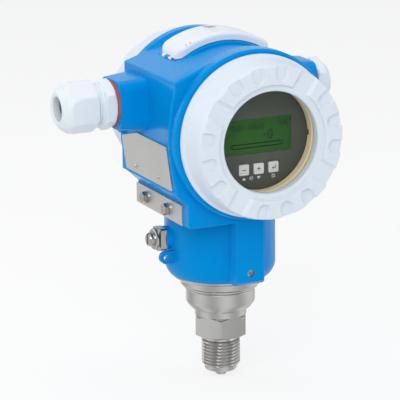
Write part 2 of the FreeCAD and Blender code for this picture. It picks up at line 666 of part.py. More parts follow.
def nameplate():
    """Bare five-sided plate on the flat side, two holes for its drive pins."""
    x = -SIDE_X
    low = SIDE_BOTTOM + 1.6
    top = AXIS_Z - 5.3
    corners = [V(x, BLOCK_REAR + 3.2, top - 5.3), V(x, ENTRY_Y + 0.9, top), V(x, BLOCK_FRONT + 11.9, top),
               V(x, BLOCK_FRONT + 4.6, low), V(x, BLOCK_REAR - 2.8, low)]
    plate = Part.Face(rounded_outline(corners, 0.8)).extrude(V(-PLATE_T, 0, 0))
    for y in RIVETS_Y:
        plate = plate.cut(along_x(RIVET_R, x - 2, x + 1, y, RIVET_Z))
    return plate


def nameplate_pins():
    """Two round-head drive pins."""
    head_r = 1.9
    face = -SIDE_X - PLATE_T
    pins = []
    for y in RIVETS_Y:
        shank = along_x(RIVET_R - 0.02, face, -SIDE_X + 3.0, y, RIVET_Z)
        head = Part.makeSphere(head_r, V(face + 1.0, y, RIVET_Z))
        head = head.cut(box(face, 0, y - AWAY, y + AWAY, RIVET_Z - AWAY, RIVET_Z + AWAY))
        pins.append(fuse([shank, head]))
    return Part.makeCompound(pins)


def tag_plate():
    """Plain rectangular plate on the set-in lower side."""
    x = -LOW_SIDE_X
    rear = BLOCK_REAR - 0.8
    front = BLOCK_FRONT + 7.6
    corners = [V(x, rear, TAG_LOW), V(x, rear, TAG_TOP), V(x, front, TAG_TOP), V(x, front, TAG_LOW)]
    plate = Part.Face(rounded_outline(corners, 0.6)).extrude(V(-TAG_T, 0, 0))
    for y in TAG_SCREWS_Y:
        plate = plate.cut(along_x(TAG_SCREW_R + 0.1, x - 3, x + 1, y, TAG_SCREW_Z))
    return plate


def tag_screws():
    """Two hexagon-head screws with their washers."""
    washer_t = 0.7
    head_h = 2.5
    screws = []
    for y in TAG_SCREWS_Y:
        shank = rod(TAG_SCREW_R - 0.05, -5.0, 0.0)
        washer = rod(3.5, 0.0, washer_t)
        head = chamfered_hexagon(5.5, washer_t, washer_t + head_h)
        screws.append(facing_side(fuse([shank, washer, head]), -1, LOW_SIDE_X + TAG_T, y, TAG_SCREW_Z))
    return Part.makeCompound(screws)


def set_screw():
    """Headless socket screw that keeps the housing from turning."""
    front = BLOCK_FRONT + 1.3
    tip = -SPIGOT_R + LOCK_GROOVE_D - 0.4
    body = along_y(LOCK_SCREW_R, front, tip - 2.0, 0, LOCK_Z)
    point = along_y(LOCK_SCREW_R - 0.7, tip - 2.2, tip, 0, LOCK_Z)
    turn = FreeCAD.Rotation(V(1, 0, 0), -90)
    socket = hexagon(2.0, 0, 2.4).transformed(FreeCAD.Placement(V(0, front - 0.4, LOCK_Z), turn).toMatrix())
    return fuse([body, point]).cut(socket)


def ground_saddle():
    """Steel saddle of the ground terminal, a groove each side for the wire."""
    half_y = 4.8
    plate = rounded_plan(-6.0, 6.0, -half_y, half_y, 1.2, 0.0, GROUND_SADDLE_T)
    plate = plate.cut(rod(GROUND_SCREW_R + 0.05, -1, GROUND_SADDLE_T + 1))
    for y in (-half_y + 0.4, half_y - 0.4):
        plate = plate.cut(Part.makeCylinder(1.2, 14, V(-7, y, GROUND_SADDLE_T), V(1, 0, 0)))
    return facing_side(plate, -1, GROUND_FACE_X, GROUND_Y, GROUND_Z)


def ground_washer():
    """Clamp washer over the saddle."""
    top = GROUND_WASHER_T
    hole = GROUND_SCREW_R + 0.1
    ring = turned([(hole, 0.0), (5.4, 0.0), (5.7, 0.3), (5.7, top - 0.5), (5.2, top), (hole, top)])
    return facing_side(ring, -1, GROUND_FACE_X + GROUND_SADDLE_T, GROUND_Y, GROUND_Z)


def ground_screw():
    """Cheese-head screw of the ground terminal."""
    shank = rod(GROUND_SCREW_R - 0.05, -13.0, 0.0)
    head = turned([(0, 0), (3.7, 0), (3.7, 2.0), (3.1, 2.9), (0, 2.9)])
    slot = box(-5, 5, -0.5, 0.5, 1.6, 4)
    seat_x = GROUND_FACE_X + GROUND_SADDLE_T + GROUND_WASHER_T
    return facing_side(fuse([shank, head]).cut(slot), -1, seat_x, GROUND_Y, GROUND_Z)


# ------------------------------------------------------------------------ covers
def grip_cuts():
    """Tool slots and finger pockets of a cover's crown, one list of cutters."""
    floor = RIM_H
    top = RIM_H + LUG_H + 0.5
    start = LUG_IN_R - 3.0
    half = SLOT_W / 2
    wide = half + SLOT_DRAFT + 0.5
    section = [V(start, -half, floor), V(start, half, floor), V(start, wide, top), V(start, -wide, top)]
    cuts = []
    for k in range(4):
        slot = Part.Face(Part.makePolygon(section + section[:1])).extrude(V(FLANGE_R - start, 0, 0))
        slot.rotate(V(0, 0, 0), V(0, 0, 1), SLOT_ANGLE + 90.0 * k)
        cuts.append(slot)
        for step in (-1, 0, 1):
            pocket = pocket_cut()
            pocket.rotate(V(0, 0, 0), V(0, 0, 1), SLOT_ANGLE + 45.0 + 90.0 * k + POCKET_STEP * step)
            cuts.append(pocket)
    return cuts


def pocket_cut():
    """Finger pocket, round at its inner end and open at the cover's edge."""
    low = RIM_H + LUG_H - POCKET_D
    end = rod(POCKET_W / 2, low, low + 6, POCKET_R)
    way = box(POCKET_R, FLANGE_R + 2, -POCKET_W / 2, POCKET_W / 2, low, low + 6)
    return fuse([end, way])


def cover_body(closed):
    """Screwed cover about local Z, 0 at the housing's face.

    The outline is turned: threaded tube, seal groove, flange, skirt and crown.
    The crown's ring is cut by the tool slots and the finger pockets."""
    tube_end = -COVER_THREAD_LEN
    top = RIM_H + LUG_H
    groove_low = SEAL_Z - SEAL_R - 0.5
    groove_high = SEAL_Z + SEAL_R + 0.5
    outline = [
        (COVER_WALL_R, tube_end), (COVER_THREAD_R - 0.8, tube_end), (COVER_THREAD_R, tube_end + 0.8),
        (COVER_THREAD_R, groove_low), (SEAL_GROOVE_R, groove_low), (SEAL_GROOVE_R, groove_high),
        (COVER_THREAD_R, groove_high),
        (COVER_THREAD_R, SEAT_GAP), (FLANGE_R - 0.6, SEAT_GAP), (FLANGE_R, SEAT_GAP + 0.6),
        (FLANGE_R, FLANGE_H), (FLANGE_R - 0.5, FLANGE_H + 0.4), (SKIRT_R + 0.2, FLANGE_H + 0.6),
        (SKIRT_R, FLANGE_H + 1.3), (SKIRT_TOP_R, RIM_H - 1.4), (LUG_OUT_R, top - 0.5), (LUG_OUT_R - 0.5, top),
        (LUG_IN_R + 0.5, top), (LUG_IN_R, top - 0.6), (LUG_IN_R, RIM_H)]
    if closed:
        floor = RIM_H - 1.5
        inside = floor - BLIND_WALL
        outline += [(LUG_IN_R - 3.0, RIM_H), (LUG_IN_R - 4.5, floor), (0, floor), (0, inside),
                    (COVER_WALL_R - 2.0, inside), (COVER_WALL_R, inside - 2.0)]
    else:
        seat = RIM_H - LIP_T
        shelf = seat - GLASS_T - 2 * FACE_GAP
        mouth = shelf - RETAINER_H - 0.5
        outline += [(WINDOW_R + 0.8, RIM_H), (WINDOW_R, RIM_H - 0.8), (WINDOW_R, seat), (GLASS_R + GAP, seat),
                    (GLASS_R + GAP, shelf), (RETAINER_R + 0.1, shelf), (RETAINER_R + 0.1, mouth),
                    (COVER_WALL_R, mouth - 1.9)]
    return turned(outline).cut(Part.makeCompound(grip_cuts()))


def cover_seal():
    """O-ring of a screwed cover, about local Z."""
    return seal_ring(SEAL_GROOVE_R + GAP + SEAL_R, SEAL_R, SEAL_Z)


def window_glass():
    """Thick round pane with broken edges."""
    top = RIM_H - LIP_T - FACE_GAP
    low = top - GLASS_T
    return turned([(0, low), (GLASS_R - 0.4, low), (GLASS_R, low + 0.4), (GLASS_R, top - 0.4),
                   (GLASS_R - 0.4, top), (0, top)])


def glass_retainer():
    """Screwed ring that holds the pane, with two notches for its key."""
    top = RIM_H - LIP_T - GLASS_T - 2 * FACE_GAP
    low = top - RETAINER_H
    ring = turned([(RETAINER_IN_R, low), (RETAINER_R, low), (RETAINER_R, top), (RETAINER_IN_R + 0.6, top),
                   (RETAINER_IN_R, top - 0.6)])
    for angle in (0.0, 180.0):
        notch = box(RETAINER_IN_R - 1, RETAINER_IN_R + 1.8, -1.5, 1.5, low - 1, low + 1.5)
        notch.rotate(V(0, 0, 0), V(0, 0, 1), angle)
        ring = ring.cut(notch)
    return ring


# ---------------------------------------------------------------------- key hood
def hood_outline():
    """Hood's cross-section along Y: an arch whose two ends run down in a radius."""
    half = HOOD_X
    drop = math.sqrt(HOOD_R ** 2 - half ** 2)
    top = AXIS_Z + HOOD_R
    low = AXIS_Z + drop / 2
    left = V(-half, 0, AXIS_Z + drop)
    right = V(half, 0, AXIS_Z + drop)
    edges = [Part.Arc(left, V(0, 0, top), right).toShape(), Part.makeLine(right, V(half, 0, low)),
             Part.makeLine(V(half, 0, low), V(-half, 0, low)), Part.makeLine(V(-half, 0, low), left)]
    solid = Part.Face(Part.Wire(edges))
    solid.translate(V(0, HOOD_FRONT - 5, 0))
    solid = solid.extrude(V(0, HOOD_REAR - HOOD_FRONT + 10, 0))
    ends = []
    for edge in solid.Edges:
        extent = edge.BoundBox
        if extent.YLength > 20 and extent.ZMin > low + 1.0:
            ends.append(edge)
    return solid.makeFillet(HOOD_END_ROUND, ends)


def hood():
    """Arched protective hood over the three outer keys, hinged at its left end."""
    low = AXIS_Z + PAD_R / 2
    top = AXIS_Z + HOOD_R + 10.0
    plan = rounded_plan(-HOOD_X, HOOD_X, HOOD_FRONT, HOOD_REAR, HOOD_CORNER, low, top)
    solid = plan.common(hood_outline())
    rim = []
    for edge in solid.Edges:
        extent = edge.BoundBox
        middle = edge.valueAt((edge.FirstParameter + edge.LastParameter) / 2)
        at_wall = middle.y < HOOD_FRONT + HOOD_CORNER or middle.y > HOOD_REAR - HOOD_CORNER
        if extent.ZMin > low + 5.0 and at_wall and extent.XLength > 1.0:
            rim.append(edge)
    solid = solid.makeFillet(HOOD_EDGE_ROUND, rim)
    room = rounded_plan(-HOOD_X + HOOD_WALL, HOOD_X - HOOD_WALL, HOOD_FRONT + HOOD_WALL,
                        HOOD_REAR - HOOD_WALL, HOOD_CORNER - HOOD_WALL, low, top)
    room = room.common(along_y(HOOD_R - HOOD_WALL, HOOD_FRONT, HOOD_REAR))
    room = room.cut(rod(HOOD_HEAD_R + 1.6, low, top, 0, HOOD_SCREW_Y))
    roof = block_slice(ARCH_R, HOOD_FRONT - 1, HOOD_REAR + 1, SIDE_X, GAP)
    shell = solid.cut(room).cut(along_y(PAD_R + GAP, HOOD_FRONT - 1, HOOD_REAR + 5)).cut(roof)
    shell = shell.cut(along_y(HINGE_R + GAP, KNUCKLES_Y[0][1], KNUCKLES_Y[1][0], HINGE_X, hinge_height()))
    knuckles = []
    for low, high in KNUCKLES_Y:
        knuckles.append(along_y(HINGE_R, low, high, HINGE_X, hinge_height()))
    shell = fuse([shell] + knuckles)
    cuts = [along_y(HINGE_PIN_R + 0.05, HOOD_FRONT, HOOD_REAR, HINGE_X, hinge_height()),
            rod(HOOD_SHANK_R + 0.4, low, top, 0, HOOD_SCREW_Y),
            rod(HOOD_HEAD_R + 0.6, HOOD_SEAT_Z, top, 0, HOOD_SCREW_Y)]
    half = GROOVE_W / 2
    for x in GROOVES_X:
        skin = AXIS_Z + math.sqrt(HOOD_R ** 2 - x ** 2)
        cuts.append(box(-x - half, -x + half, HOOD_FRONT - 1, HOOD_FRONT + 3, skin - 1.0, top))
    return shell.cut(Part.makeCompound(cuts))


def hood_screw():
    """Captive slotted screw of the hood."""
    shank = rod(HOOD_SHANK_R, HOOD_SCREW_LOW, HOOD_SEAT_Z, 0, HOOD_SCREW_Y)
    head = rod(HOOD_HEAD_R, HOOD_SEAT_Z, HOOD_SEAT_Z + 1.4, 0, HOOD_SCREW_Y)
    slot = box(-4, 4, HOOD_SCREW_Y - 0.4, HOOD_SCREW_Y + 0.4, HOOD_SEAT_Z + 0.6, HOOD_SEAT_Z + 3)
    return fuse([shank, head]).cut(slot)


def hood_pin():
    """Hinge pin through the housing's ear and the hood's two knuckles."""
    return along_y(HINGE_PIN_R, KNUCKLES_Y[0][0], KNUCKLES_Y[1][1], HINGE_X, hinge_height())


def outer_key(x):
    """Round push key with a dished top."""
    low = KEY_DECK - KEY_WELL + KEY_TRAVEL + STOP_GAP
    body = turned([(0, low), (KEY_R, low), (KEY_R, KEY_TOP - 0.5), (KEY_R - 0.5, KEY_TOP),
                   (KEY_R - 1.0, KEY_TOP), (0, KEY_TOP - 0.35)])
    body.translate(V(x, KEY_Y, 0))
    return body


# --------------------------------------------------------- electronics and display
def insert_screw_spots():
    """Places of the can's screws as (x, z)."""
    spots = []
    for degrees in INSERT_SCREW_ANGLES:
        angle = math.radians(degrees)
        spots.append((INSERT_SCREW_R * math.cos(angle), AXIS_Z + INSERT_SCREW_R * math.sin(angle)))
    return spots


def electronics_insert():
    """Closed electronics can in the front compartment."""
    depth = WALL_FRONT - INSERT_FACE
    wide = INSERT_R_MAX
    can = turned([(0, 0), (wide, 0), (wide, depth - 7.0), (wide - 1.2, depth - 5.8),
                  (wide - 1.2, depth), (0, depth)])
    cuts = [box(-9, 9, INSERT_FACE - 1, INSERT_FACE + 3, AXIS_Z - 26, AXIS_Z - 20)]
    for x, z in insert_screw_spots():
        cuts.append(along_y(INSERT_SCREW_SHANK_R + 0.1, INSERT_FACE - 1, WALL_FRONT - 4, x, z))
    return facing_front(can, WALL_FRONT).cut(Part.makeCompound(cuts))


def insert_screws():
    """Three pan-head screws that hold the electronics can."""
    screws = []
    for x, z in insert_screw_spots():
        shank = along_y(INSERT_SCREW_SHANK_R, INSERT_FACE, WALL_FRONT - 4.5, x, z)
        head = along_y(2.9, INSERT_FACE - 2.0, INSERT_FACE, x, z)
        slot = box(x - 4, x + 4, INSERT_FACE - 3, INSERT_FACE - 1.2, z - 0.4, z + 0.4)
        screws.append(fuse([shank, head]).cut(slot))
    return Part.makeCompound(screws)


def display_holder():
    """Snap frame between the electronics can and the display."""
    ring = facing_front(tube(20.0, 17.0, 0, -HOLDER_FACE + INSERT_FACE), INSERT_FACE)
    legs = []
    for angle in (0.0, 90.0, 180.0, 270.0):
        leg = box(18.0, 27.0, -4.0, 4.0, 0.0, HOLDER_LEG_T)
        leg.rotate(V(0, 0, 0), V(0, 0, 1), angle + 45.0)
        legs.append(facing_front(leg, HOLDER_FACE + HOLDER_LEG_T))
    return fuse([ring] + legs)


def display_module():
    """Display module: round case, sunk screen field and three key openings."""
    depth = DISPLAY_BACK - DISPLAY_FACE
    case = turned([(0, 0), (DISPLAY_R - 2.5, 0), (DISPLAY_R - 1.5, 1.0), (DISPLAY_R - 1.5, depth - 4.0),
                   (DISPLAY_R, depth - 3.6), (DISPLAY_R, depth - 0.6), (DISPLAY_R - 0.6, depth), (0, depth)])
    case = facing_front(case, DISPLAY_BACK)
    wide = LCD_W / 2 + LCD_FIT
    high = LCD_H / 2 + LCD_FIT
    cuts = [box(-wide, wide, DISPLAY_FACE - 1, DISPLAY_FACE + LCD_SUNK + LCD_T, LCD_Z - high, LCD_Z + high)]
    half = DKEY_SIZE / 2 + GAP
    for x in (-DKEY_STEP, 0.0, DKEY_STEP):
        cuts.append(box(x - half, x + half, DISPLAY_FACE - 1, DISPLAY_FACE + DKEY_WELL,
                        DKEY_Z - half, DKEY_Z + half))
    return case.cut(Part.makeCompound(cuts))


def display_screen():
    """Liquid-crystal pane in the display's sunk field."""
    face = DISPLAY_FACE + LCD_SUNK
    return box(-LCD_W / 2, LCD_W / 2, face, face + LCD_T, LCD_Z - LCD_H / 2, LCD_Z + LCD_H / 2)


def display_key(x):
    """Square key of the display, its front edges rounded."""
    half = DKEY_SIZE / 2
    corners = [V(x - half, 0, DKEY_Z - half), V(x + half, 0, DKEY_Z - half),
               V(x + half, 0, DKEY_Z + half), V(x - half, 0, DKEY_Z + half)]
    face = Part.Face(rounded_outline(corners, 0.6))
    face.translate(V(0, DISPLAY_FACE - DKEY_OUT, 0))
    return face.extrude(V(0, DKEY_WELL + DKEY_OUT - DKEY_TRAVEL - STOP_GAP, 0))


def filter_plate():
    """Round carrier in the rear compartment that filters the supply."""
    edge = FILTER_R
    disc = turned([(0, 0), (edge, 0), (edge, FILTER_T - 1.0), (edge - 1.0, FILTER_T), (0, FILTER_T)])
    disc = facing_rear(disc, WALL_REAR)
    for side in (-1, 1):
        disc = disc.cut(box(side * edge - 6, side * edge + 6, WALL_REAR + 1.5, WALL_REAR + FILTER_T + 2.0,
                            ENTRY_Z - ENTRY_R - 2, ENTRY_Z + ENTRY_R + 2))
    return disc


def terminal_places():
    """Distances of the terminals from the middle plane."""
    middle = (TERMINAL_COUNT - 1) / 2
    return [TERMINAL_STEP * (k - middle) for k in range(TERMINAL_COUNT)]


def terminal_block():
    """Five-way screw terminal block, open funnels below for the wires."""
    half = TERMINAL_STEP * TERMINAL_COUNT / 2 + 0.4
    low = TERMINAL_LOW
    body = box(-half, half, TERMINAL_BACK, TERMINAL_FACE, low, TERMINAL_HIGH)
    step = box(-half - 1, half + 1, TERMINAL_FACE - 4.0, TERMINAL_FACE + 1, low - 1, low + 6.0)
    body = body.cut(step)
    cuts = []
    for x in terminal_places():
        cuts.append(along_y(2.4, TERMINAL_FACE - 6.0, TERMINAL_FACE + 1, x, AXIS_Z))
        cuts.append(box(x - 2.2, x + 2.2, TERMINAL_BACK + 2.4, TERMINAL_BACK + 6.4, low - 1, low + 9.0))
    return body.cut(Part.makeCompound(cuts))


def terminal_screws():
    """Slotted screws of the terminal block."""
    screws = []
    for x in terminal_places():
        screw = along_y(2.1, TERMINAL_FACE - 6.0, TERMINAL_FACE - 0.8, x, AXIS_Z)
        slot = box(x - 3, x + 3, TERMINAL_FACE - 1.8, TERMINAL_FACE, AXIS_Z - 0.35, AXIS_Z + 0.35)
        screws.append(screw.cut(slot))
    return Part.makeCompound(screws)


def inner_ground():
    """Ground screw and its clamp in the rear compartment."""
    angle = math.radians(-54.0)
    x = (FILTER_R - 6.8) * math.cos(angle)
    z = AXIS_Z + (FILTER_R - 6.8) * math.sin(angle)
    foot = WALL_REAR + FILTER_T
    clamp_y = foot + 1.0
    head_y = clamp_y + 1.2
    top = head_y + 2.4
    post = along_y(1.9, foot, head_y + 1.0, x, z)
    clamp = box(x - 4.0, x + 4.0, clamp_y, head_y, z - 4.0, z + 4.0)
    head = along_y(3.4, head_y, top, x, z)
    slot = box(x - 5, x + 5, top - 1.0, top + 1.0, z - 0.4, z + 0.4)
    return fuse([post, clamp, head]).cut(slot)


# ------------------------------------------------------------ cable gland and plug
def entry_seal(side):
    """Flat sealing washer under the gland or the plug."""
    return facing_side(tube(SEAL_RING_R, ENTRY_R + 0.2, 0.0, GLAND_SEAL_T), side, ENTRY_X, ENTRY_Y, ENTRY_Z)


def entry_shank(top):
    """Threaded shank of a gland or plug about local Z, from inside the entry up."""
    radius = ENTRY_R - ENTRY_FIT
    tip = radius - SHANK_CHAMFER
    return turned([(0, -SHANK_LEN), (tip, -SHANK_LEN), (radius, SHANK_CHAMFER - SHANK_LEN),
                   (radius, top), (0, top)])


def gland_body():
    """Gland body: threaded shank, hexagon, and the slotted nose under the nut."""
    collar_r = GLAND_COLLAR_R
    neck_end = NUT_START - 0.4
    flange = chamfered_hexagon(GLAND_AF, GLAND_SEAL_T, GLAND_TOP, FLAT_UP)
    sleeve = turned([
        (0, GLAND_SEAL_T), (collar_r, GLAND_SEAL_T), (collar_r, GLAND_TOP + 1.4),
        (collar_r - 0.7, GLAND_TOP + 1.7), (collar_r - 0.7, GLAND_TOP + 2.1),
        (collar_r, GLAND_TOP + 2.4), (collar_r, neck_end - 0.5),
        (collar_r - 0.6, neck_end), (GLAND_NOSE_R, neck_end), (GLAND_NOSE_R, GLAND_NOSE_END - 0.6),
        (GLAND_NOSE_R - 0.6, GLAND_NOSE_END), (0, GLAND_NOSE_END)])
    solid = fuse([flange, sleeve, entry_shank(GLAND_SEAL_T)])
    solid = solid.cut(rod(INSERT_R - 0.9, -SHANK_LEN - 1, NUT_START))
    solid = solid.cut(rod(INSERT_R + GAP, NUT_START - GAP, GLAND_NOSE_END + 1))
    return facing_side(solid, -1, ENTRY_X, ENTRY_Y, ENTRY_Z)


def gland_insert():
    """Rubber sealing insert, tapered where the nut presses on it."""
    end = NUT_END - NUT_LIP - 0.4
    ring = turned([(INSERT_BORE_R, NUT_START), (INSERT_R, NUT_START), (INSERT_R, GLAND_NOSE_END + 1.5),
                   (INSERT_R - 0.9, end), (INSERT_BORE_R + 0.6, end), (INSERT_BORE_R, end - 0.6)])
    return facing_side(ring, -1, ENTRY_X, ENTRY_Y, ENTRY_Z)


def gland_nut():
    """Cap nut of the gland: six flats that run out into a round dome."""
    inner = GLAND_NOSE_R + GAP
    corner = NUT_AF / 2 + 1.6
    lip = NUT_END - NUT_LIP
    dome = turned([
        (inner, NUT_START), (corner - 0.6, NUT_START), (corner, NUT_START + 0.9),
        (corner, NUT_START + 0.57 * NUT_LEN), (corner - 0.8, NUT_START + 0.73 * NUT_LEN),
        (corner - 2.5, NUT_END - 2.2), (corner - 4.5, NUT_END - 0.5), (corner - 5.5, NUT_END),
        (NUT_MOUTH_R + 0.5, NUT_END), (NUT_MOUTH_R, NUT_END - 0.6), (NUT_MOUTH_R, lip),
        (INSERT_R + GAP, lip), (INSERT_R + GAP, GLAND_NOSE_END + 2.0), (inner, GLAND_NOSE_END + 1.0)])
    flats = hexagon(NUT_AF, NUT_START - 1, NUT_END + 1, FLAT_UP)
    return facing_side(dome.common(flats), -1, ENTRY_X, ENTRY_Y, ENTRY_Z)


def blanking_plug():
    """Closed plug in the second cable entry."""
    hex_top = GLAND_SEAL_T + PLUG_HEAD_H
    head = chamfered_hexagon(GLAND_AF, GLAND_SEAL_T, hex_top, FLAT_UP)
    cap_r = GLAND_COLLAR_R - 0.3
    cap = turned([(0, hex_top - 1.5), (cap_r, hex_top - 1.5), (cap_r, hex_top + 0.5),
                  (cap_r - 2.4, hex_top + 3.5), (0, hex_top + 3.5)])
    bore = rod(ENTRY_R - 2.5, -SHANK_LEN - 1, GLAND_SEAL_T + 0.5)
    return facing_side(fuse([head, cap, entry_shank(GLAND_SEAL_T)]).cut(bore), 1, ENTRY_X, ENTRY_Y, ENTRY_Z)


# ------------------------------------------------------------------------ assembly
def all_pieces():
    """Every piece by the name of its node."""
    pieces = {
        "process_connection": process_connection(),
        "sensor_body": sensor_body(),
        "measuring_cell": measuring_cell(),
        "cell_pins": cell_pins(),
        "sensor_board": sensor_board(),
        "spigot_seal": spigot_seal(),
        "housing": housing(),
        "sealing_eye": sealing_eye(),
        "nameplate": nameplate(),
        "nameplate_pins": nameplate_pins(),
        "tag_plate": tag_plate(),
        "tag_screws": tag_screws(),
        "set_screw": set_screw(),
        "ground_saddle": ground_saddle(),
        "ground_washer": ground_washer(),
        "ground_screw": ground_screw(),
        "front_seal": facing_front(cover_seal(), FRONT_FACE),
        "front_cover": facing_front(cover_body(False), FRONT_FACE),
        "window_glass": facing_front(window_glass(), FRONT_FACE),
        "glass_retainer": facing_front(glass_retainer(), FRONT_FACE),
        "rear_seal": facing_rear(cover_seal(), REAR_FACE),
        "rear_cover": facing_rear(cover_body(True), REAR_FACE),
        "hood": hood(),
        "hood_screw": hood_screw(),
        "hood_pin": hood_pin(),
        "electronics_insert": electronics_insert(),
        "insert_screws": insert_screws(),
        "display_holder": display_holder(),
        "display_module": display_module(),
        "display_screen": display_screen(),
        "filter_plate": filter_plate(),
        "terminal_block": terminal_block(),
        "terminal_screws": terminal_screws(),
        "inner_ground": inner_ground(),
        "gland_seal": entry_seal(-1),
        "gland_body": gland_body(),
        "gland_insert": gland_insert(),
        "gland_nut": gland_nut(),
        "plug_seal": entry_seal(1),
        "blanking_plug": blanking_plug(),
    }
    for name, x in (("minus", -KEY_STEP), ("plus", 0.0), ("enter", KEY_STEP)):
        pieces["outer_key_" + name] = outer_key(x)
    for name, x in (("minus", -DKEY_STEP), ("plus", 0.0), ("enter", DKEY_STEP)):
        pieces["display_key_" + name] = display_key(x)
    return pieces


os.makedirs("parts", exist_ok=True)
for node, shape in all_pieces().items():
    shape.exportStep(os.path.join("parts", node + ".step"))
    print(node, len(shape.Solids), round(shape.Volume, 1), shape.isValid())
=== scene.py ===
# %% [markdown]
# # Dressing a pressure transmitter
#
# A pressure transmitter screws into a pipe with its steel thread, measures the
# pressure with a small cell above the hexagon, and shows it on a display in a
# painted die-cast housing.  The CAD frame already holds every solid at its real
# place and size.  This lesson adds what the eye reads as real: paint, turned
# steel, moulded plastic, rounded edges, a cut thread and a display with signs.
#
# The first step loads the frame and keeps its outer box.

# %% Load the frame
import json
import math

import bmesh
import bpy
import numpy as np
from mathutils import Matrix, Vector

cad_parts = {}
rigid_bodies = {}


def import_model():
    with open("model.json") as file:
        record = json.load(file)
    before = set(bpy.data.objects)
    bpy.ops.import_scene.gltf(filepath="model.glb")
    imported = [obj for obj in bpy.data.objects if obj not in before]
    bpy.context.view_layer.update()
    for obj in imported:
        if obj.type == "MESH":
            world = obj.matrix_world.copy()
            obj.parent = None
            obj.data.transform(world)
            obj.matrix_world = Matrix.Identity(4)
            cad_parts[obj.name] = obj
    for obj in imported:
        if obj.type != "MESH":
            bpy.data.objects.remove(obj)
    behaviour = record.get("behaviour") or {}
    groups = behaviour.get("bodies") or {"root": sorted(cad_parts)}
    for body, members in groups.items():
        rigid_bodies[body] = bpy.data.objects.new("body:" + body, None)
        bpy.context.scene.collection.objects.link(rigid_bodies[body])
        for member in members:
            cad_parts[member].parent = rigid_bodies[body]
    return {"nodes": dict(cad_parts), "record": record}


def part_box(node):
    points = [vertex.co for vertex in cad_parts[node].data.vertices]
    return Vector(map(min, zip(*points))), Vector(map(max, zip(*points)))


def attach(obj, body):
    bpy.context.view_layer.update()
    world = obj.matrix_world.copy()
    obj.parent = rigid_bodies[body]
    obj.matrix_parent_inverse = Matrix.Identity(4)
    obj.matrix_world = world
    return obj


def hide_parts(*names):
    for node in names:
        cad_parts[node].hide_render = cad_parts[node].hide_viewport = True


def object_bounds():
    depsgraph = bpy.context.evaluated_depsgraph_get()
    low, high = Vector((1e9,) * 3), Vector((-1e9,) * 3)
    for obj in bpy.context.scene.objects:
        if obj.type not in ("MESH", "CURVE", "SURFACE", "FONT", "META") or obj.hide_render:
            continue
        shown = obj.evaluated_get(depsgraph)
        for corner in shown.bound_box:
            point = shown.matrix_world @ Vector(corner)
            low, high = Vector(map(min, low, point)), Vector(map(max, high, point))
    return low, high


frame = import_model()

MM = 0.001
cad_bounds = [[float(v) for v in corner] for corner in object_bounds()]
print("CAD box in mm:", [[round(v / MM, 1) for v in corner] for corner in cad_bounds])

# %% [markdown]
# ## Where things are
#
# Nothing is placed by eye.  The boxes of the CAD nodes say where the two
# compartments' common axis runs, where the covers seat and where the cable
# entries are, so a change in the CAD moves the new pieces too.

# %% Read the seats from the CAD nodes
def node_box(name):
    """Lowest and highest corner of a CAD node, in millimetres."""
    low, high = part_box(name)
    return np.array(low) / MM, np.array(high) / MM


retainer_low, retainer_high = node_box("glass_retainer")
AXIS_Z = (retainer_low[2] + retainer_high[2]) / 2
COVER_THREAD_LEN = 12.0
FRONT_SEAT = node_box("front_cover")[1][1] - COVER_THREAD_LEN
REAR_SEAT = node_box("rear_cover")[0][1] + COVER_THREAD_LEN
entry_low, entry_high = node_box("gland_seal")
ENTRY_Y = (entry_low[1] + entry_high[1]) / 2
ENTRY_Z = (entry_low[2] + entry_high[2]) / 2
ENTRY_X = node_box("plug_seal")[0][0]
print("axis height", round(AXIS_Z, 2), "front seat", round(FRONT_SEAT, 2), "rear seat", round(REAR_SEAT, 2))
print("cable entry", round(ENTRY_X, 2), round(ENTRY_Y, 2), round(ENTRY_Z, 2))

# %% [markdown]
# ## Meshes from numpy grids
#
# Almost every piece here was turned, moulded or pressed, so it can be written as
# a surface of two parameters: one runs along an outline, the other around an
# axis.  A grid of points is worked out as whole arrays, and one function puts it
# into a mesh, closes its poles and checks that its faces point outwards.

# %% Grid to mesh
def grid_faces(rows, columns, wrap_rows):
    """Quads between neighbouring grid points; columns always close on themselves."""
    i = np.arange(rows if wrap_rows else rows - 1)[:, None]
    j = np.arange(columns)[None, :]
    i2 = (i + 1) % rows
    j2 = (j + 1) % columns
    quads = np.stack([i * columns + j, i * columns + j2, i2 * columns + j2, i2 * columns + j], axis=-1)
    return quads.reshape(-1, 4)


def signed_volume(points, quads):
    """Volume inside the quads: the sum of a.(b x c)/6 over both triangles of each."""
    a, b, c, d = (points[quads[:, k]] for k in range(4))
    return (np.einsum("ij,ij->i", a, np.cross(b, c)) + np.einsum("ij,ij->i", a, np.cross(c, d))).sum() / 6


def make_piece(name, points, body, slot, wrap_rows=True, sharp=40.0):
    """Puts a (rows, columns, 3) grid in millimetres into a closed piece that rides on a body."""
    rows, columns, _ = points.shape
    flat = points.reshape(-1, 3) * MM
    quads = grid_faces(rows, columns, wrap_rows)
    if signed_volume(flat, quads) < 0:
        quads = quads[:, ::-1]
    mesh = bpy.data.meshes.new(name)
    mesh.from_pydata(flat.tolist(), [], quads.tolist())
    return finish_mesh(mesh, name, body, slot, sharp)


def finish_mesh(mesh, name, body, slot, sharp=40.0):
    """Merges doubled points, smooths the shading between sharp edges, and lets the piece ride."""
    work = bmesh.new()
    work.from_mesh(mesh)
    bmesh.ops.remove_doubles(work, verts=work.verts, dist=2e-7)
    bmesh.ops.dissolve_degenerate(work, dist=1e-7, edges=work.edges)
    bmesh.ops.delete(work, geom=[edge for edge in work.edges if not edge.link_faces], context="EDGES")
    work.to_mesh(mesh)
    work.free()
    mesh.shade_smooth()
    mesh.set_sharp_from_angle(angle=math.radians(sharp))
    piece = bpy.data.objects.new(name, mesh)
    bpy.context.scene.collection.objects.link(piece)
    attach(piece, body)
    mesh.materials.append(FINISH[slot])
    return piece


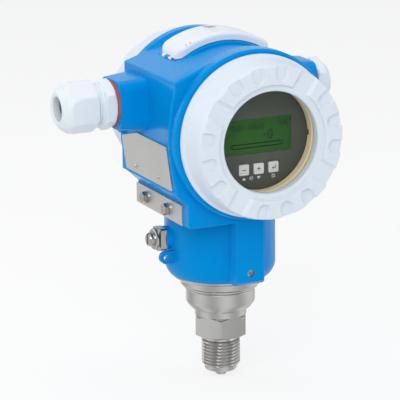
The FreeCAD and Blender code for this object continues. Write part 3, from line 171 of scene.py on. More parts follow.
# %% [markdown]
# ## Outlines with broken edges
#
# No machined or moulded edge is truly sharp: a small radius catches the light,
# and that thin bright line is what tells the eye that a thing is solid.  An
# outline is therefore given as corners with a radius each, and every corner is
# replaced by a short arc that is tangent to both of its sides.

# %% Rounded outline
def soften(corners, closed=True, steps=4):
    """Points of an outline whose corners (u, v, radius) are rounded.

    At a corner with unit directions p and q to its neighbours and half angle a, the
    arc's centre lies along p + q at radius / sin(a), and it touches each side at
    radius / tan(a), which is kept under half of that side."""
    table = np.array(corners, float)
    spots, radii = table[:, :2], table[:, 2]
    before, after = np.roll(spots, 1, axis=0), np.roll(spots, -1, axis=0)
    to_before, to_after = before - spots, after - spots
    length_before = np.linalg.norm(to_before, axis=1)
    length_after = np.linalg.norm(to_after, axis=1)
    p = to_before / np.maximum(length_before, 1e-9)[:, None]
    q = to_after / np.maximum(length_after, 1e-9)[:, None]
    half = np.arccos(np.clip((p * q).sum(1), -1, 1)) / 2
    flat = half > math.radians(89)
    room = 0.49 * np.minimum(length_before, length_after)
    reach = np.where(flat, 0, np.minimum(radii / np.maximum(np.tan(half), 1e-6), room))
    if not closed:
        reach[0] = reach[-1] = 0
    t = np.linspace(0, 1, steps + 1)[None, :, None]
    start = spots + p * reach[:, None]
    end = spots + q * reach[:, None]
    # a quadratic Bezier through the corner is close enough to the arc at this size
    bend = (1 - t) ** 2 * start[:, None] + 2 * t * (1 - t) * spots[:, None] + t ** 2 * end[:, None]
    keep = np.where(reach[:, None] > 1e-9, True, np.arange(steps + 1)[None] == 0)
    return bend[keep]


def resample(outline, spacing, closed=True):
    """The same outline with extra points, so that no side is longer than the spacing."""
    ends = np.roll(outline, -1, axis=0) if closed else outline[1:]
    starts = outline if closed else outline[:-1]
    count = np.maximum(1, np.ceil(np.linalg.norm(ends - starts, axis=1) / spacing).astype(int))
    owner = np.repeat(np.arange(len(count)), count)
    step = np.arange(count.sum()) - np.repeat(np.cumsum(count) - count, count)
    share = (step / count[owner])[:, None]
    points = starts[owner] * (1 - share) + ends[owner] * share
    return points if closed else np.vstack([points, outline[-1]])


# %% [markdown]
# ## Five directions
#
# The steel parts turn about Z, the covers about an axis along Y, and the cable
# glands about an axis along X.  Each piece is worked out with its own axis as
# local Z, and then carried to its place by three unit vectors and an origin.

# %% Local axes
def seat(origin, x, y, z):
    """Local frame: an origin in millimetres and the world directions of its axes."""
    return np.array(origin, float), np.array([x, y, z], float)


UP = seat((0, 0, 0), (1, 0, 0), (0, 1, 0), (0, 0, 1))
FRONT = seat((0, FRONT_SEAT, AXIS_Z), (1, 0, 0), (0, 0, 1), (0, -1, 0))
REAR = seat((0, REAR_SEAT, AXIS_Z), (-1, 0, 0), (0, 0, 1), (0, 1, 0))
LEFT = seat((-ENTRY_X, ENTRY_Y, ENTRY_Z), (0, -1, 0), (0, 0, 1), (-1, 0, 0))
RIGHT = seat((ENTRY_X, ENTRY_Y, ENTRY_Z), (0, 1, 0), (0, 0, 1), (1, 0, 0))


def place(local, where):
    """World points: origin plus each local coordinate times its direction."""
    origin, axes = where
    return origin + local @ axes


def turned(radius, height, angles, where):
    """Points at radius(row, angle) and height(row, angle) around the local Z axis."""
    r = np.broadcast_to(radius, (radius.shape[0], len(angles)))
    h = np.broadcast_to(height, r.shape)
    local = np.stack([r * np.cos(angles), r * np.sin(angles), h], axis=-1)
    return place(local, where)


def around(count):
    """Evenly spaced angles of a full turn."""
    return np.arange(count) * (2 * math.pi / count)


# %% [markdown]
# ## Finishes
#
# Every finish starts from what the real surface is and how it was made.  Colours
# are written as the sRGB values that a colour picker would show, and one
# function turns them to the linear values that the renderer works with.

# %% Colour and node helpers
def colour(text):
    """Linear RGBA from an sRGB hex string."""
    values = np.array([int(text[k:k + 2], 16) for k in (1, 3, 5)]) / 255
    linear = np.where(values <= 0.04045, values / 12.92, ((values + 0.055) / 1.055) ** 2.4)
    return (*linear.tolist(), 1.0)


def add(tree, kind, inputs=None, **settings):
    """Adds one node, sets its properties, and sets or links its inputs."""
    made = tree.nodes.new(kind)
    for key, value in settings.items():
        setattr(made, key, value)
    for key, value in (inputs or {}).items():
        if isinstance(value, bpy.types.NodeSocket):
            tree.links.new(value, made.inputs[key])
        else:
            made.inputs[key].default_value = value
    return made


def new_finish(name):
    """Empty node material with its output node."""
    finish = bpy.data.materials.new(name)
    finish.use_nodes = True
    finish.node_tree.nodes.clear()
    return finish, finish.node_tree, add(finish.node_tree, "ShaderNodeOutputMaterial")


def object_grain(tree, scale, stretch=(1.0, 1.0, 1.0), detail=3.0, rough=0.5):
    """Noise in Object coordinates; scale is in cells per metre, stretched along the axes."""
    place_node = add(tree, "ShaderNodeTexCoord")
    spread = add(tree, "ShaderNodeMapping", {"Vector": place_node.outputs["Object"], "Scale": stretch})
    return add(tree, "ShaderNodeTexNoise", {"Vector": spread.outputs["Vector"], "Scale": scale,
                                            "Detail": detail, "Roughness": rough})


def blend_colours(tree, factor, first, second):
    """Mixes two hex colours by a factor socket."""
    mix = add(tree, "ShaderNodeMix", data_type="RGBA")
    tree.links.new(factor, mix.inputs[0])
    mix.inputs[6].default_value = colour(first)
    mix.inputs[7].default_value = colour(second)
    return mix.outputs[2]


def to_range(tree, value, low, high):
    """Maps a 0 to 1 socket onto low to high."""
    ranged = add(tree, "ShaderNodeMapRange", {"Value": value, "To Min": low, "To Max": high})
    return ranged.outputs["Result"]


FINISH = {}


# %% [markdown]
# ### Powder coat
#
# The housing is die-cast aluminium under a polyester powder coat.  The powder
# melts into a skin of about 0.1 mm with a faint orange peel, waves some 2 mm
# long, and a half gloss.  The covers carry the same coat in a fine-grained
# white.  Two noises make it: the long waves bend the reflections, and a fine
# grain keeps the highlight from looking like glass.

# %% Powder coats
def powder_coat(name, light, dark, roughness, peel_mm, grain_mm, coat, sheen):
    """Painted metal: two slightly different tones, orange peel and fine grain, a tinted sheen."""
    finish, tree, out = new_finish(name)
    tone = object_grain(tree, 14.0, detail=2.0)
    peel = object_grain(tree, 1 / (peel_mm * MM), detail=1.0)
    grain = object_grain(tree, 1 / (grain_mm * MM), detail=2.0)
    waves = add(tree, "ShaderNodeBump", {"Height": peel.outputs["Fac"], "Strength": 0.05, "Distance": 0.0004})
    fine = add(tree, "ShaderNodeBump", {"Height": grain.outputs["Fac"], "Normal": waves.outputs["Normal"],
                                        "Strength": 0.06, "Distance": 0.00008})
    shader = add(tree, "ShaderNodeBsdfPrincipled", {
        "Base Color": blend_colours(tree, tone.outputs["Fac"], light, dark),
        "Roughness": to_range(tree, grain.outputs["Fac"], roughness - 0.04, roughness + 0.04),
        "Specular IOR Level": 0.16, "Specular Tint": colour(sheen),
        "Normal": fine.outputs["Normal"], "Coat Weight": coat, "Coat Roughness": 0.12})
    tree.links.new(shader.outputs["BSDF"], out.inputs["Surface"])
    FINISH[name] = finish


powder_coat("blue_paint", "#008FD8", "#0087CF", 0.26, 2.2, 0.35, 0.06, "#0096E0")
powder_coat("white_paint", "#DCE4EB", "#D6DEE6", 0.42, 2.0, 0.3, 0.1, "#FFFFFF")

# %% [markdown]
# ### Moulded plastics
#
# The key hood is moulded polyester, the cable gland polyamide, the display case
# and its keys are ABS.  All take the mould's fine spark-eroded texture, about
# 0.2 mm, and stay softer in gloss than paint.  The display's parts reflect least,
# so that its signs stay dark behind the window.

# %% Moulded plastics
def moulded(name, light, dark, roughness, grain_mm=0.25, depth_mm=0.02, gloss=0.5):
    """Moulded plastic: eroded mould texture as bump, with its own strength of reflection."""
    finish, tree, out = new_finish(name)
    tone = object_grain(tree, 25.0, detail=2.0)
    grain = object_grain(tree, 1 / (grain_mm * MM), detail=2.0)
    bump = add(tree, "ShaderNodeBump", {"Height": grain.outputs["Fac"], "Strength": 0.25,
                                        "Distance": depth_mm * MM})
    shader = add(tree, "ShaderNodeBsdfPrincipled", {
        "Base Color": blend_colours(tree, tone.outputs["Fac"], light, dark),
        "Roughness": to_range(tree, grain.outputs["Fac"], roughness - 0.05, roughness + 0.05),
        "Normal": bump.outputs["Normal"], "Specular IOR Level": gloss})
    tree.links.new(shader.outputs["BSDF"], out.inputs["Surface"])
    FINISH[name] = finish


moulded("hood_white", "#E6E9EF", "#DFE3EA", 0.38)
moulded("gland_white", "#E3EAEE", "#DCE3E8", 0.36)
moulded("display_grey", "#575C56", "#50544D", 0.5, 0.3, 0.03, 0.15)
moulded("key_grey", "#E6E6E6", "#DCDCDD", 0.5)
moulded("module_black", "#0B0D0B", "#080A08", 0.5, 0.25, 0.02, 0.1)
moulded("terminal_grey", "#6B706E", "#616663", 0.5)
moulded("lcd_green", "#2F6629", "#295A23", 0.4, 0.4, 0.004, 0.1)
moulded("board_green", "#1E5A34", "#194D2C", 0.35, 0.5, 0.01)

# %% [markdown]
# ### Rubber
#
# O-rings and the gland's insert are matt and nearly black, the washer under the
# gland is red silicone.  Rubber scatters light off a skin of mould marks and
# talc, so it is rough with a weak specular.

# %% Rubber
def rubber(name, light, dark, roughness=0.7):
    """Elastomer: matt, mottled by a fine talc-like noise."""
    finish, tree, out = new_finish(name)
    talc = object_grain(tree, 1 / (0.6 * MM), detail=4.0)
    bump = add(tree, "ShaderNodeBump", {"Height": talc.outputs["Fac"], "Strength": 0.2, "Distance": 0.00004})
    shader = add(tree, "ShaderNodeBsdfPrincipled", {
        "Base Color": blend_colours(tree, talc.outputs["Fac"], light, dark),
        "Roughness": roughness, "Normal": bump.outputs["Normal"], "Specular IOR Level": 0.3})
    tree.links.new(shader.outputs["BSDF"], out.inputs["Surface"])
    FINISH[name] = finish


rubber("black_rubber", "#232325", "#18181A")
rubber("grey_rubber", "#4A5248", "#3A4139")
rubber("red_seal", "#D0603F", "#B84E30", 0.55)

# %% [markdown]
# ### Turned, brushed and rolled steel
#
# The process connection is turned from 316L stainless bar: the tool leaves rings
# a few tenths of a millimetre apart, which stretch every highlight into a band
# across the part.  The plates are brushed along their length, the small screws
# are cold-headed and nearly smooth.  One function draws all of them: a noise
# stretched hard along the direction of the lines.

# %% Metals
def lined_metal(name, light, dark, roughness, lines_mm, stretch, depth_mm, spread=0.08, turned_by=0.0):
    """Metal with fine parallel lines: noise squeezed across the lines, long along them.

    Turned metal also gets anisotropy: its rings spread a highlight along the axis."""
    finish, tree, out = new_finish(name)
    lines = object_grain(tree, 1 / (lines_mm * MM), stretch, detail=3.0, rough=0.6)
    stain = object_grain(tree, 60.0, detail=3.0)
    bump = add(tree, "ShaderNodeBump", {"Height": lines.outputs["Fac"], "Strength": 0.3,
                                        "Distance": depth_mm * MM})
    shader = add(tree, "ShaderNodeBsdfPrincipled", {
        "Base Color": blend_colours(tree, stain.outputs["Fac"], light, dark),
        "Metallic": 1.0,
        "Roughness": to_range(tree, lines.outputs["Fac"], roughness - spread, roughness + spread),
        "Normal": bump.outputs["Normal"], "Anisotropic": turned_by, "Anisotropic Rotation": 0.25})
    if turned_by:
        rings = add(tree, "ShaderNodeTangent", direction_type="RADIAL", axis="Z")
        tree.links.new(rings.outputs["Tangent"], shader.inputs["Tangent"])
    tree.links.new(shader.outputs["BSDF"], out.inputs["Surface"])
    FINISH[name] = finish


lined_metal("stainless", "#C6C5C3", "#B4B3B0", 0.17, 0.35, (0.03, 0.03, 1.0), 0.008, 0.05, 0.6)
lined_metal("plate_steel", "#D4D3D1", "#CAC9C7", 0.42, 0.3, (1.0, 0.02, 1.0), 0.006)
lined_metal("screw_steel", "#C4C2BC", "#A9A7A1", 0.25, 0.5, (1.0, 1.0, 1.0), 0.006)
lined_metal("brass_pins", "#E2C27A", "#CDAA5E", 0.25, 0.5, (1.0, 1.0, 0.05), 0.004)

# %% [markdown]
# ### Yellow passivated ring
#
# The threaded ring behind the window is aluminium with a yellow passivation, a
# thin chromate film that looks cream to tan.  It is treated as a satin paint
# over metal, with turned lines about the window's axis.

# %% Passivated ring
def passivated(name, light, dark):
    """Satin film on turned aluminium, the lines running around the Y axis."""
    finish, tree, out = new_finish(name)
    lines = object_grain(tree, 1 / (0.4 * MM), (0.03, 1.0, 0.03), detail=2.0)
    bump = add(tree, "ShaderNodeBump", {"Height": lines.outputs["Fac"], "Strength": 0.3, "Distance": 0.00001})
    shader = add(tree, "ShaderNodeBsdfPrincipled", {
        "Base Color": blend_colours(tree, lines.outputs["Fac"], light, dark),
        "Metallic": 0.0, "Roughness": 0.4, "Normal": bump.outputs["Normal"]})
    tree.links.new(shader.outputs["BSDF"], out.inputs["Surface"])
    FINISH[name] = finish


passivated("yellow_ring", "#F5E6C4", "#E8D2A4")

# %% [markdown]
# ### Window glass
#
# A pane 4 mm thick, ground and polished.  Its parallel faces hardly bend the
# view, so it is a clear filter with a weak mirror on top, and the light that
# lights the display passes straight in.  Bare glass mirrors 4 per cent on each
# face.  Here it is less, so that the signs stay easy to read in a white room.

# %% Glass
GLASS_MIRROR = 0.006


def clear_glass(name):
    """Pane: a clear filter whose share of mirror on each face is GLASS_MIRROR."""
    finish, tree, out = new_finish(name)
    clear = add(tree, "ShaderNodeBsdfTransparent", {"Color": colour("#FDFDFC")})
    gloss = add(tree, "ShaderNodeBsdfGlossy", {"Color": (1, 1, 1, 1), "Roughness": 0.02})
    mix = add(tree, "ShaderNodeMixShader", {0: GLASS_MIRROR})
    tree.links.new(clear.outputs["BSDF"], mix.inputs[1])
    tree.links.new(gloss.outputs["BSDF"], mix.inputs[2])
    tree.links.new(mix.outputs["Shader"], out.inputs["Surface"])
    FINISH[name] = finish


clear_glass("clear_glass")

# %% [markdown]
# ## Finishes on the CAD nodes
#
# The record names a material slot for every node, so the carried-over solids are
# dressed in one loop.

# %% Dress the CAD nodes
slot_of = {entry["node"]: entry["material_slot"] for entry in frame["record"]["subparts"]}
body_of = {node: body for body, nodes in frame["record"]["behaviour"]["bodies"].items() for node in nodes}
for name, piece in frame["nodes"].items():
    piece.data.materials.clear()
    piece.data.materials.append(FINISH[slot_of[name]])
print("dressed", len(slot_of), "nodes with", len(set(slot_of.values())), "finishes")

# %% [markdown]
# ## Process connection
#
# One bar of stainless steel, turned and milled: from below, the pin round the
# pressure port, the plain collar, a G 1/2 pipe thread, an undercut, a hexagon
# 27 mm across its flats, and the cup that carries the measuring cell.  It could
# be built from a lathe shape, a hexagon and a screw joined by booleans.  Here it
# is one surface: a radius for every height and angle, because the thread and
# the flats are only places where that radius depends on the angle.

# %% Hexagon and thread as radii
TIP_CLIP = 1.28


def hex_radius(across, angles, first_corner, corner_loss=0.12):
    """Distance to a hexagon's edge: half of the flats over cos of the angle from the flat's
    middle, with its corners turned off a little."""
    from_flat = (angles - first_corner) % (math.pi / 3) - math.pi / 6
    half = across / 2
    return np.minimum(half / np.cos(from_flat), half / math.cos(math.pi / 6) - corner_loss)


def thread_depth(heights, angles, pitch, depth):
    """Depth of a right-hand thread below its crests at each height and angle.

    The phase is height / pitch - angle / turn.  The flanks are a triangle wave that
    is drawn out by TIP_CLIP and cut off at both ends, because the crests and roots of a
    pipe thread are rounded."""
    phase = (heights / pitch - angles / (2 * math.pi)) % 1.0
    wave = np.abs(2 * phase - 1)
    return depth * np.clip(TIP_CLIP * wave - (TIP_CLIP - 1) / 2, 0.0, 1.0)


# %% Process connection
G_HALF_R = 10.4775
G_HALF_PITCH = 25.4 / 14
G_HALF_DEPTH = 0.640327 * G_HALF_PITCH
HEX_ACROSS = 27.0
HEX_CORNER = math.radians(-115.0)
connection_low, connection_high = node_box("process_connection")
CONE_AND_CUP = 14.7           # height of the cone and the cup above the hexagon
HEX_TOP = connection_high[2] - CONE_AND_CUP
HEX_CONE = math.tan(math.radians(30.0))
HEX_END_R = 13.25             # where the hexagon's end cones start
PORT_R = 1.5
PIN_R = 3.0
COLLAR_R = 8.75
COLLAR_END = -20.0
THREAD_LOW = -17.2
THREAD_HIGH = -3.1
CUP_R = 18.7
CELL_R = 12.0
CELL_FLOOR = 15.0

columns = around(360) + HEX_CORNER
spigot = soften([
    (PORT_R, connection_low[2], 0.1), (PIN_R, connection_low[2], 0.5), (PIN_R, COLLAR_END, 0.3),
    (COLLAR_R, COLLAR_END, 1.6), (COLLAR_R, THREAD_LOW - 0.05, 0.2), (9.3, THREAD_LOW, 0.1)], closed=False)
relief = soften([
    (G_HALF_R, THREAD_HIGH, 0.1), (9.1, -2.5, 0.5), (8.9, -1.4, 0.6), (8.95, 0.0, 0.4), (13.1, 0.0, 0.1),
    (HEX_END_R, 0.02, 0.1)], closed=False)
cup = soften([
    (14.0, HEX_TOP, 0.1), (14.1, 15.2, 0.9), (16.4, 15.9, 1.6), (CUP_R, 19.2, 2.6),
    (CUP_R, connection_high[2], 0.2), (CELL_R, connection_high[2], 0.1), (CELL_R, CELL_FLOOR, 0.1),
    (PORT_R, CELL_FLOOR, 0.1)], closed=False)

thread_z = np.arange(THREAD_LOW + 0.1, THREAD_HIGH - 0.1, 0.13)[:, None]
run_in = 9.35 + 1.05 * (thread_z - THREAD_LOW)
run_out = G_HALF_R - (thread_z - THREAD_HIGH + 0.4)
crest = np.minimum(G_HALF_R, np.minimum(run_in, run_out))
groove = G_HALF_R - thread_depth(thread_z, columns[None], G_HALF_PITCH, G_HALF_DEPTH)
thread_r = np.minimum(groove, crest)

hex_rise = np.concatenate([np.linspace(0.0, 1.5, 13), np.linspace(2.5, HEX_TOP - 2.5, 5),
                           np.linspace(HEX_TOP - 1.5, HEX_TOP - 0.02, 13)])[:, None]
from_end = np.minimum(hex_rise, HEX_TOP - hex_rise)
hex_r = np.minimum(hex_radius(HEX_ACROSS, columns, HEX_CORNER)[None], HEX_END_R + from_end / HEX_CONE)


def constant_rows(profile):
    """Radius rows of a plain lathe outline."""
    return np.repeat(profile[:, :1], len(columns), axis=1)


radius = np.vstack([constant_rows(spigot), thread_r, constant_rows(relief), hex_r, constant_rows(cup)])
height = np.vstack([spigot[:, 1:], thread_z, relief[:, 1:], hex_rise, cup[:, 1:]])
connection = make_piece("steel_connection", turned(radius, height, columns, UP), "sensor", "stainless",
                        sharp=32)
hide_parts("process_connection")
print("process connection:", len(connection.data.vertices), "points")
print("thread pitch", round(G_HALF_PITCH, 3), "mm")

# %% [markdown]
# ## Sensor body
#
# The ring above the cup is turned too: two steps, a fine groove, a rim that the
# housing turns on, and inside the housing the hollow spigot.  A plain outline
# carried round the axis is enough; the rounded corners make the steps shine.

# %% Sensor body
ring_low = connection_high[2]
outline = soften([
    (CELL_R, ring_low, 0.1), (CUP_R, ring_low, 0.2), (20.2, ring_low + 1.2, 0.3), (20.2, ring_low + 2.0, 0.2),
    (19.6, ring_low + 2.05, 0.1), (19.6, ring_low + 2.5, 0.1), (21.1, ring_low + 2.5, 0.2),
    (21.7, ring_low + 3.1, 0.3), (21.7, ring_low + 6.6, 0.6), (24.7, ring_low + 6.9, 0.3),
    (25.9, ring_low + 7.9, 0.5), (25.9, ring_low + 8.7, 0.25), (24.0, ring_low + 8.7, 0.1),
    (24.0, ring_low + 10.8, 0.1), (22.2, ring_low + 10.8, 0.1), (22.2, ring_low + 13.0, 0.1),
    (24.0, ring_low + 13.0, 0.1), (24.0, ring_low + 14.9, 0.1), (22.7, ring_low + 15.2, 0.1),
    (22.7, ring_low + 18.2, 0.1), (24.0, ring_low + 18.5, 0.1), (24.0, ring_low + 24.2, 0.3),
    (23.0, ring_low + 25.2, 0.3), (19.5, ring_low + 25.2, 0.2), (19.5, ring_low + 4.0, 0.2),
    (CELL_R, ring_low + 4.0, 0.2)])
sensor = make_piece("steel_sensor_body", turned(outline[:, :1], outline[:, 1:], around(192), UP),
                    "sensor", "stainless", sharp=32)
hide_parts("sensor_body")
print("sensor body:", len(sensor.data.vertices), "points")

# %% [markdown]
# ## Screwed covers
#
# The covers are die-cast and powder-coated, so every edge of the grip crown is
# soft.  Each is a lathe outline whose crown is lowered by a height map: four
# tool slots with sloping sides and twelve shallow finger pockets with round
# ends.  Adding the cuts as a height keeps the surface in one piece, without
# booleans, and their edges are as soft as the ramps of the map.

# %% Crown height map
CROWN_FLOOR = 19.2
LUG_H = 1.7
CROWN_TOP = CROWN_FLOOR + LUG_H
LUG_INNER = 30.3
SLOT_AT = math.radians(57.5)
SLOT_HALF = 4.0
SLOT_SLOPE = 2.1
POCKET_STEP = math.radians(21.0)
POCKET_END_R = 35.6
POCKET_HALF = 2.95
POCKET_SLOPE = 0.75
POCKET_DEPTH = 1.5


def smooth_ramp(x, width):
    """0 below 0, 1 above the width, and a cubic ease between them."""
    t = np.clip(x / width, 0, 1)
    return t * t * (3 - 2 * t)


def crown_height(radius, angles):
    """Height of the crown over radius and angle.

    A slot lowers it where the distance across the slot's middle line is small, a
    pocket where the distance to a ray that starts at the pocket's round end is."""
    turn = math.pi / 2
    across = (angles - SLOT_AT + turn / 2) % turn - turn / 2
    slot_side = np.abs(radius * np.sin(across)) + 100 * (np.cos(across) < 0)
    slots = CROWN_FLOOR + LUG_H * smooth_ramp(slot_side - SLOT_HALF, SLOT_SLOPE)
    from_lug = (angles - SLOT_AT) % turn - turn / 2
    nearest = from_lug - POCKET_STEP * np.clip(np.round(from_lug / POCKET_STEP), -1, 1)
    along, side = radius * np.cos(nearest) - POCKET_END_R, radius * np.sin(nearest)
    away = np.where(along > 0, np.abs(side), np.hypot(along, side))
    pockets = CROWN_TOP - POCKET_DEPTH + POCKET_DEPTH * smooth_ramp(away - POCKET_HALF, POCKET_SLOPE)
    return np.minimum(slots, pockets)


def cover_surface(outline, where):
    """Lathe outline whose points above the crown's floor are lowered to the height map:
    height = min(outline, crown_height(radius, angle))."""
    angles = around(720)
    rows = resample(outline, 4.0)
    radius = np.repeat(rows[:, :1], len(angles), axis=1)
    height = np.repeat(rows[:, 1:], len(angles), axis=1)
    height = np.where(rows[:, 1:] > CROWN_FLOOR, np.minimum(height, crown_height(radius, angles)), height)
    return turned(radius, height, angles, where)


# %% Front and rear cover
TUBE_IN_R = 33.2
THREAD_OUT_R = 38.0
SEAL_R = 36.3
WINDOW_R = 26.7


def cover_outline(inside):
    """Outer side of a cover from its thread to its crown, then the corners given for the inside."""
    outer = [(TUBE_IN_R, -COVER_THREAD_LEN, 0.0), (37.6, -COVER_THREAD_LEN, 0.0),
             (THREAD_OUT_R, 0.6 - COVER_THREAD_LEN, 0.0), (THREAD_OUT_R, -3.4, 0.0), (SEAL_R, -3.4, 0.0),
             (SEAL_R, -1.0, 0.0), (THREAD_OUT_R, -1.0, 0.0), (THREAD_OUT_R, 0.3, 0.0), (42.9, 0.3, 0.5),
             (43.0, 1.0, 0.3), (43.0, 3.2, 0.45), (41.7, 3.8, 0.3), (41.55, 5.0, 0.4), (40.75, 17.2, 1.6)]
    edge = soften(outer + [(39.95, 20.9, 0.9), (39.0, CROWN_TOP, 0.6)], closed=False)
    # the crown's top has many rows, since the map lowers only what has points
    top_radii = np.linspace(38.8, LUG_INNER + 0.7, 34)
    top = np.stack([top_radii, np.full(len(top_radii), CROWN_TOP)], axis=1)
    inner = soften([(LUG_INNER + 0.6, CROWN_TOP, 0.1), (LUG_INNER, CROWN_TOP - 0.1, 0.4),
                    (LUG_INNER - 0.15, CROWN_FLOOR, 0.5)] + inside, closed=False)
    return np.vstack([edge, top, inner])


window_side = [(WINDOW_R + 0.7, CROWN_FLOOR, 0.7), (WINDOW_R, 18.4, 0.7), (WINDOW_R, 14.3, 0.2),
               (30.3, 14.3, 0.0), (30.3, 10.3, 0.0), (31.3, 10.3, 0.0), (31.3, 4.9, 0.0),
               (TUBE_IN_R, 3.0, 0.0)]
front = make_piece("window_cover", cover_surface(cover_outline(window_side), FRONT), "front_cover",
                   "white_paint", sharp=38)
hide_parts("front_cover")
blind_side = [(27.3, CROWN_FLOOR, 1.2), (25.6, 17.7, 1.2), (0.0, 17.7, 0.0), (0.0, 14.2, 0.0),
              (31.2, 14.2, 0.0), (TUBE_IN_R, 12.2, 0.0)]
rear = make_piece("blind_cover", cover_surface(cover_outline(blind_side), REAR), "rear_cover",
                  "white_paint", sharp=38)
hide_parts("rear_cover")
print("covers:", len(front.data.vertices), "and", len(rear.data.vertices), "points")

# %% [markdown]
# ## Cable gland and blanking plug
#
# Both are moulded in polyamide.  The gland's nut is a dome whose six flats fade
# into the round mouth: the radius is the smaller of a dome and a hexagon, taken
# with a soft minimum, so that flats and dome meet in the rounded edge of a
# moulding.  The body and the plug have a plain chamfered hexagon.

# %% Soft minimum and a softened hexagon
def soft_min(a, b, width):
    """Smaller of a and b, blended where they differ by less than the width."""
    share = np.clip(0.5 + 0.5 * (b - a) / width, 0, 1)
    return b * (1 - share) + a * share - width * share * (1 - share)


FLAT_UP = math.radians(30.0)
NUT_ACROSS = 25.0
BODY_ACROSS = 24.0
FLAT_BLEND = 0.35
entry_columns = around(240) + FLAT_UP


def hex_rows(outline, across):
    """Radius rows of an outline cut to a hexagon's flats with a soft edge."""
    flats = hex_radius(across, entry_columns, FLAT_UP, 0.0)[None]
    return soft_min(outline[:, :1], flats, FLAT_BLEND)


def plain_rows(outline):
    """Radius rows of an outline that stays round."""
    return np.repeat(outline[:, :1], len(entry_columns), axis=1)


# %% Gland nut
nut_dome = resample(soften([
    (10.5, 11.7, 0.2), (13.7, 11.7, 0.5), (14.1, 12.6, 0.6), (14.1, 22.0, 6.0), (13.2, 26.2, 4.0),
    (11.5, 28.8, 2.4), (9.4, 30.5, 2.0), (8.6, 31.0, 0.5), (7.0, 31.0, 0.4), (6.5, 30.4, 0.4)], closed=False),
    0.7, closed=False)
nut_bore = soften([(6.5, 30.3, 0.1), (6.5, 26.8, 0.1), (7.3, 26.8, 0.1), (7.3, 22.0, 0.1), (10.5, 21.0, 0.1),
                   (10.5, 11.8, 0.1)], closed=False)
nut_radius = np.vstack([hex_rows(nut_dome, NUT_ACROSS), plain_rows(nut_bore)])
nut_height = np.vstack([nut_dome[:, 1:], nut_bore[:, 1:]])
nut = make_piece("gland_cap", turned(nut_radius, nut_height, entry_columns, LEFT), "gland_nut", "gland_white",
                 sharp=30)
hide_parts("gland_nut")

# %% Gland body
body_outer = resample(soften([
    (6.1, -9.0, 0.2), (9.15, -9.0, 0.1), (9.95, -8.2, 0.1), (9.95, 1.5, 0.1), (12.2, 1.5, 0.4),
    (13.85, 2.5, 0.4), (13.85, 6.5, 0.4), (12.2, 7.5, 0.3), (11.7, 7.55, 0.1), (11.7, 8.9, 0.2),
    (11.0, 9.2, 0.1), (11.0, 9.6, 0.1), (11.7, 9.9, 0.2), (11.7, 11.0, 0.4), (10.2, 11.3, 0.1),
    (10.2, 19.6, 0.4), (9.7, 20.0, 0.2), (7.3, 20.0, 0.1)], closed=False), 0.9, closed=False)
body_bore = soften([(7.3, 19.9, 0.1), (7.3, 11.4, 0.1), (6.1, 11.4, 0.1), (6.1, -8.9, 0.1)], closed=False)
body_radius = np.vstack([hex_rows(body_outer, BODY_ACROSS), plain_rows(body_bore)])
body_height = np.vstack([body_outer[:, 1:], body_bore[:, 1:]])
gland = make_piece("gland_hexagon", turned(body_radius, body_height, entry_columns, LEFT), "housing",
                   "gland_white", sharp=30)
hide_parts("gland_body")

# %% Blanking plug
plug_outline = resample(soften([
    (0.0, 10.5, 0.0), (8.8, 10.5, 0.8), (11.4, 7.6, 0.6), (11.45, 7.0, 0.1), (12.2, 6.98, 0.3),
    (13.85, 6.0, 0.4), (13.85, 2.5, 0.4), (12.2, 1.5, 0.3), (9.95, 1.5, 0.1), (9.95, -8.2, 0.2),
    (9.15, -9.0, 0.2), (7.5, -9.0, 0.1), (7.5, 2.0, 0.2), (0.0, 2.0, 0.0)], closed=False), 0.9, closed=False)
plug_points = turned(hex_rows(plug_outline, BODY_ACROSS), plug_outline[:, 1:], entry_columns, RIGHT)
plug = make_piece("blanking_cap", plug_points, "housing", "gland_white", sharp=30)
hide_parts("blanking_plug")
print("gland nut, body and plug:", [len(piece.data.vertices) for piece in (nut, gland, plug)], "points")

# %% [markdown]
# ## Castings and mouldings with broken edges
#
# The housing, the hood and the plates keep the shape of the CAD.  Their CAD
# meshes are loose triangles with flat shading and exact edges.  A merged copy
# with smooth shading between its edges and a bevel of a few tenths of a
# millimetre shows the curved faces and the paint-rounded edges.

# %% Broken edges on copies of CAD nodes
def broken_edges(name, body, width_mm, sharp=28.0, segments=2):
    """Merged copy of a CAD node, smooth between its edges, with a small bevel on them."""
    source = frame["nodes"][name]
    mesh = source.data.copy()
    mesh.name = name + "_skin"
    work = bmesh.new()
    work.from_mesh(mesh)
    bmesh.ops.remove_doubles(work, verts=work.verts, dist=2e-6)
    bmesh.ops.dissolve_limit(work, angle_limit=math.radians(0.4), verts=work.verts, edges=work.edges)
    work.to_mesh(mesh)
    work.free()
    mesh.shade_smooth()
    mesh.set_sharp_from_angle(angle=math.radians(sharp))
    piece = bpy.data.objects.new(name + "_skin", mesh)
    bpy.context.scene.collection.objects.link(piece)
    bevel = piece.modifiers.new("edges", "BEVEL")
    bevel.width = width_mm * MM
    bevel.segments = segments
    bevel.limit_method = "ANGLE"
    bevel.angle_limit = math.radians(sharp)
    bevel.harden_normals = True
    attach(piece, body)
    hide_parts(name)
    return piece


for node, width in (("housing", 0.35), ("hood", 0.25), ("nameplate", 0.12), ("tag_plate", 0.15),
                    ("display_module", 0.2), ("ground_saddle", 0.25)):
    skin = broken_edges(node, body_of[node], width)
    print(skin.name, len(skin.data.vertices), "points")

# %% [markdown]
# ## Signs on the display
#
# The display is a dot matrix: every sign is a group of small square dots that
# turn dark.  A sign is written as rows of 0 and 1, and each lit dot becomes a
# flat box on the pane.  The same way prints the marks of the keys and the small
# white signs under them.  Text objects would do for a plain number, but their
# round strokes don't look like a matrix.

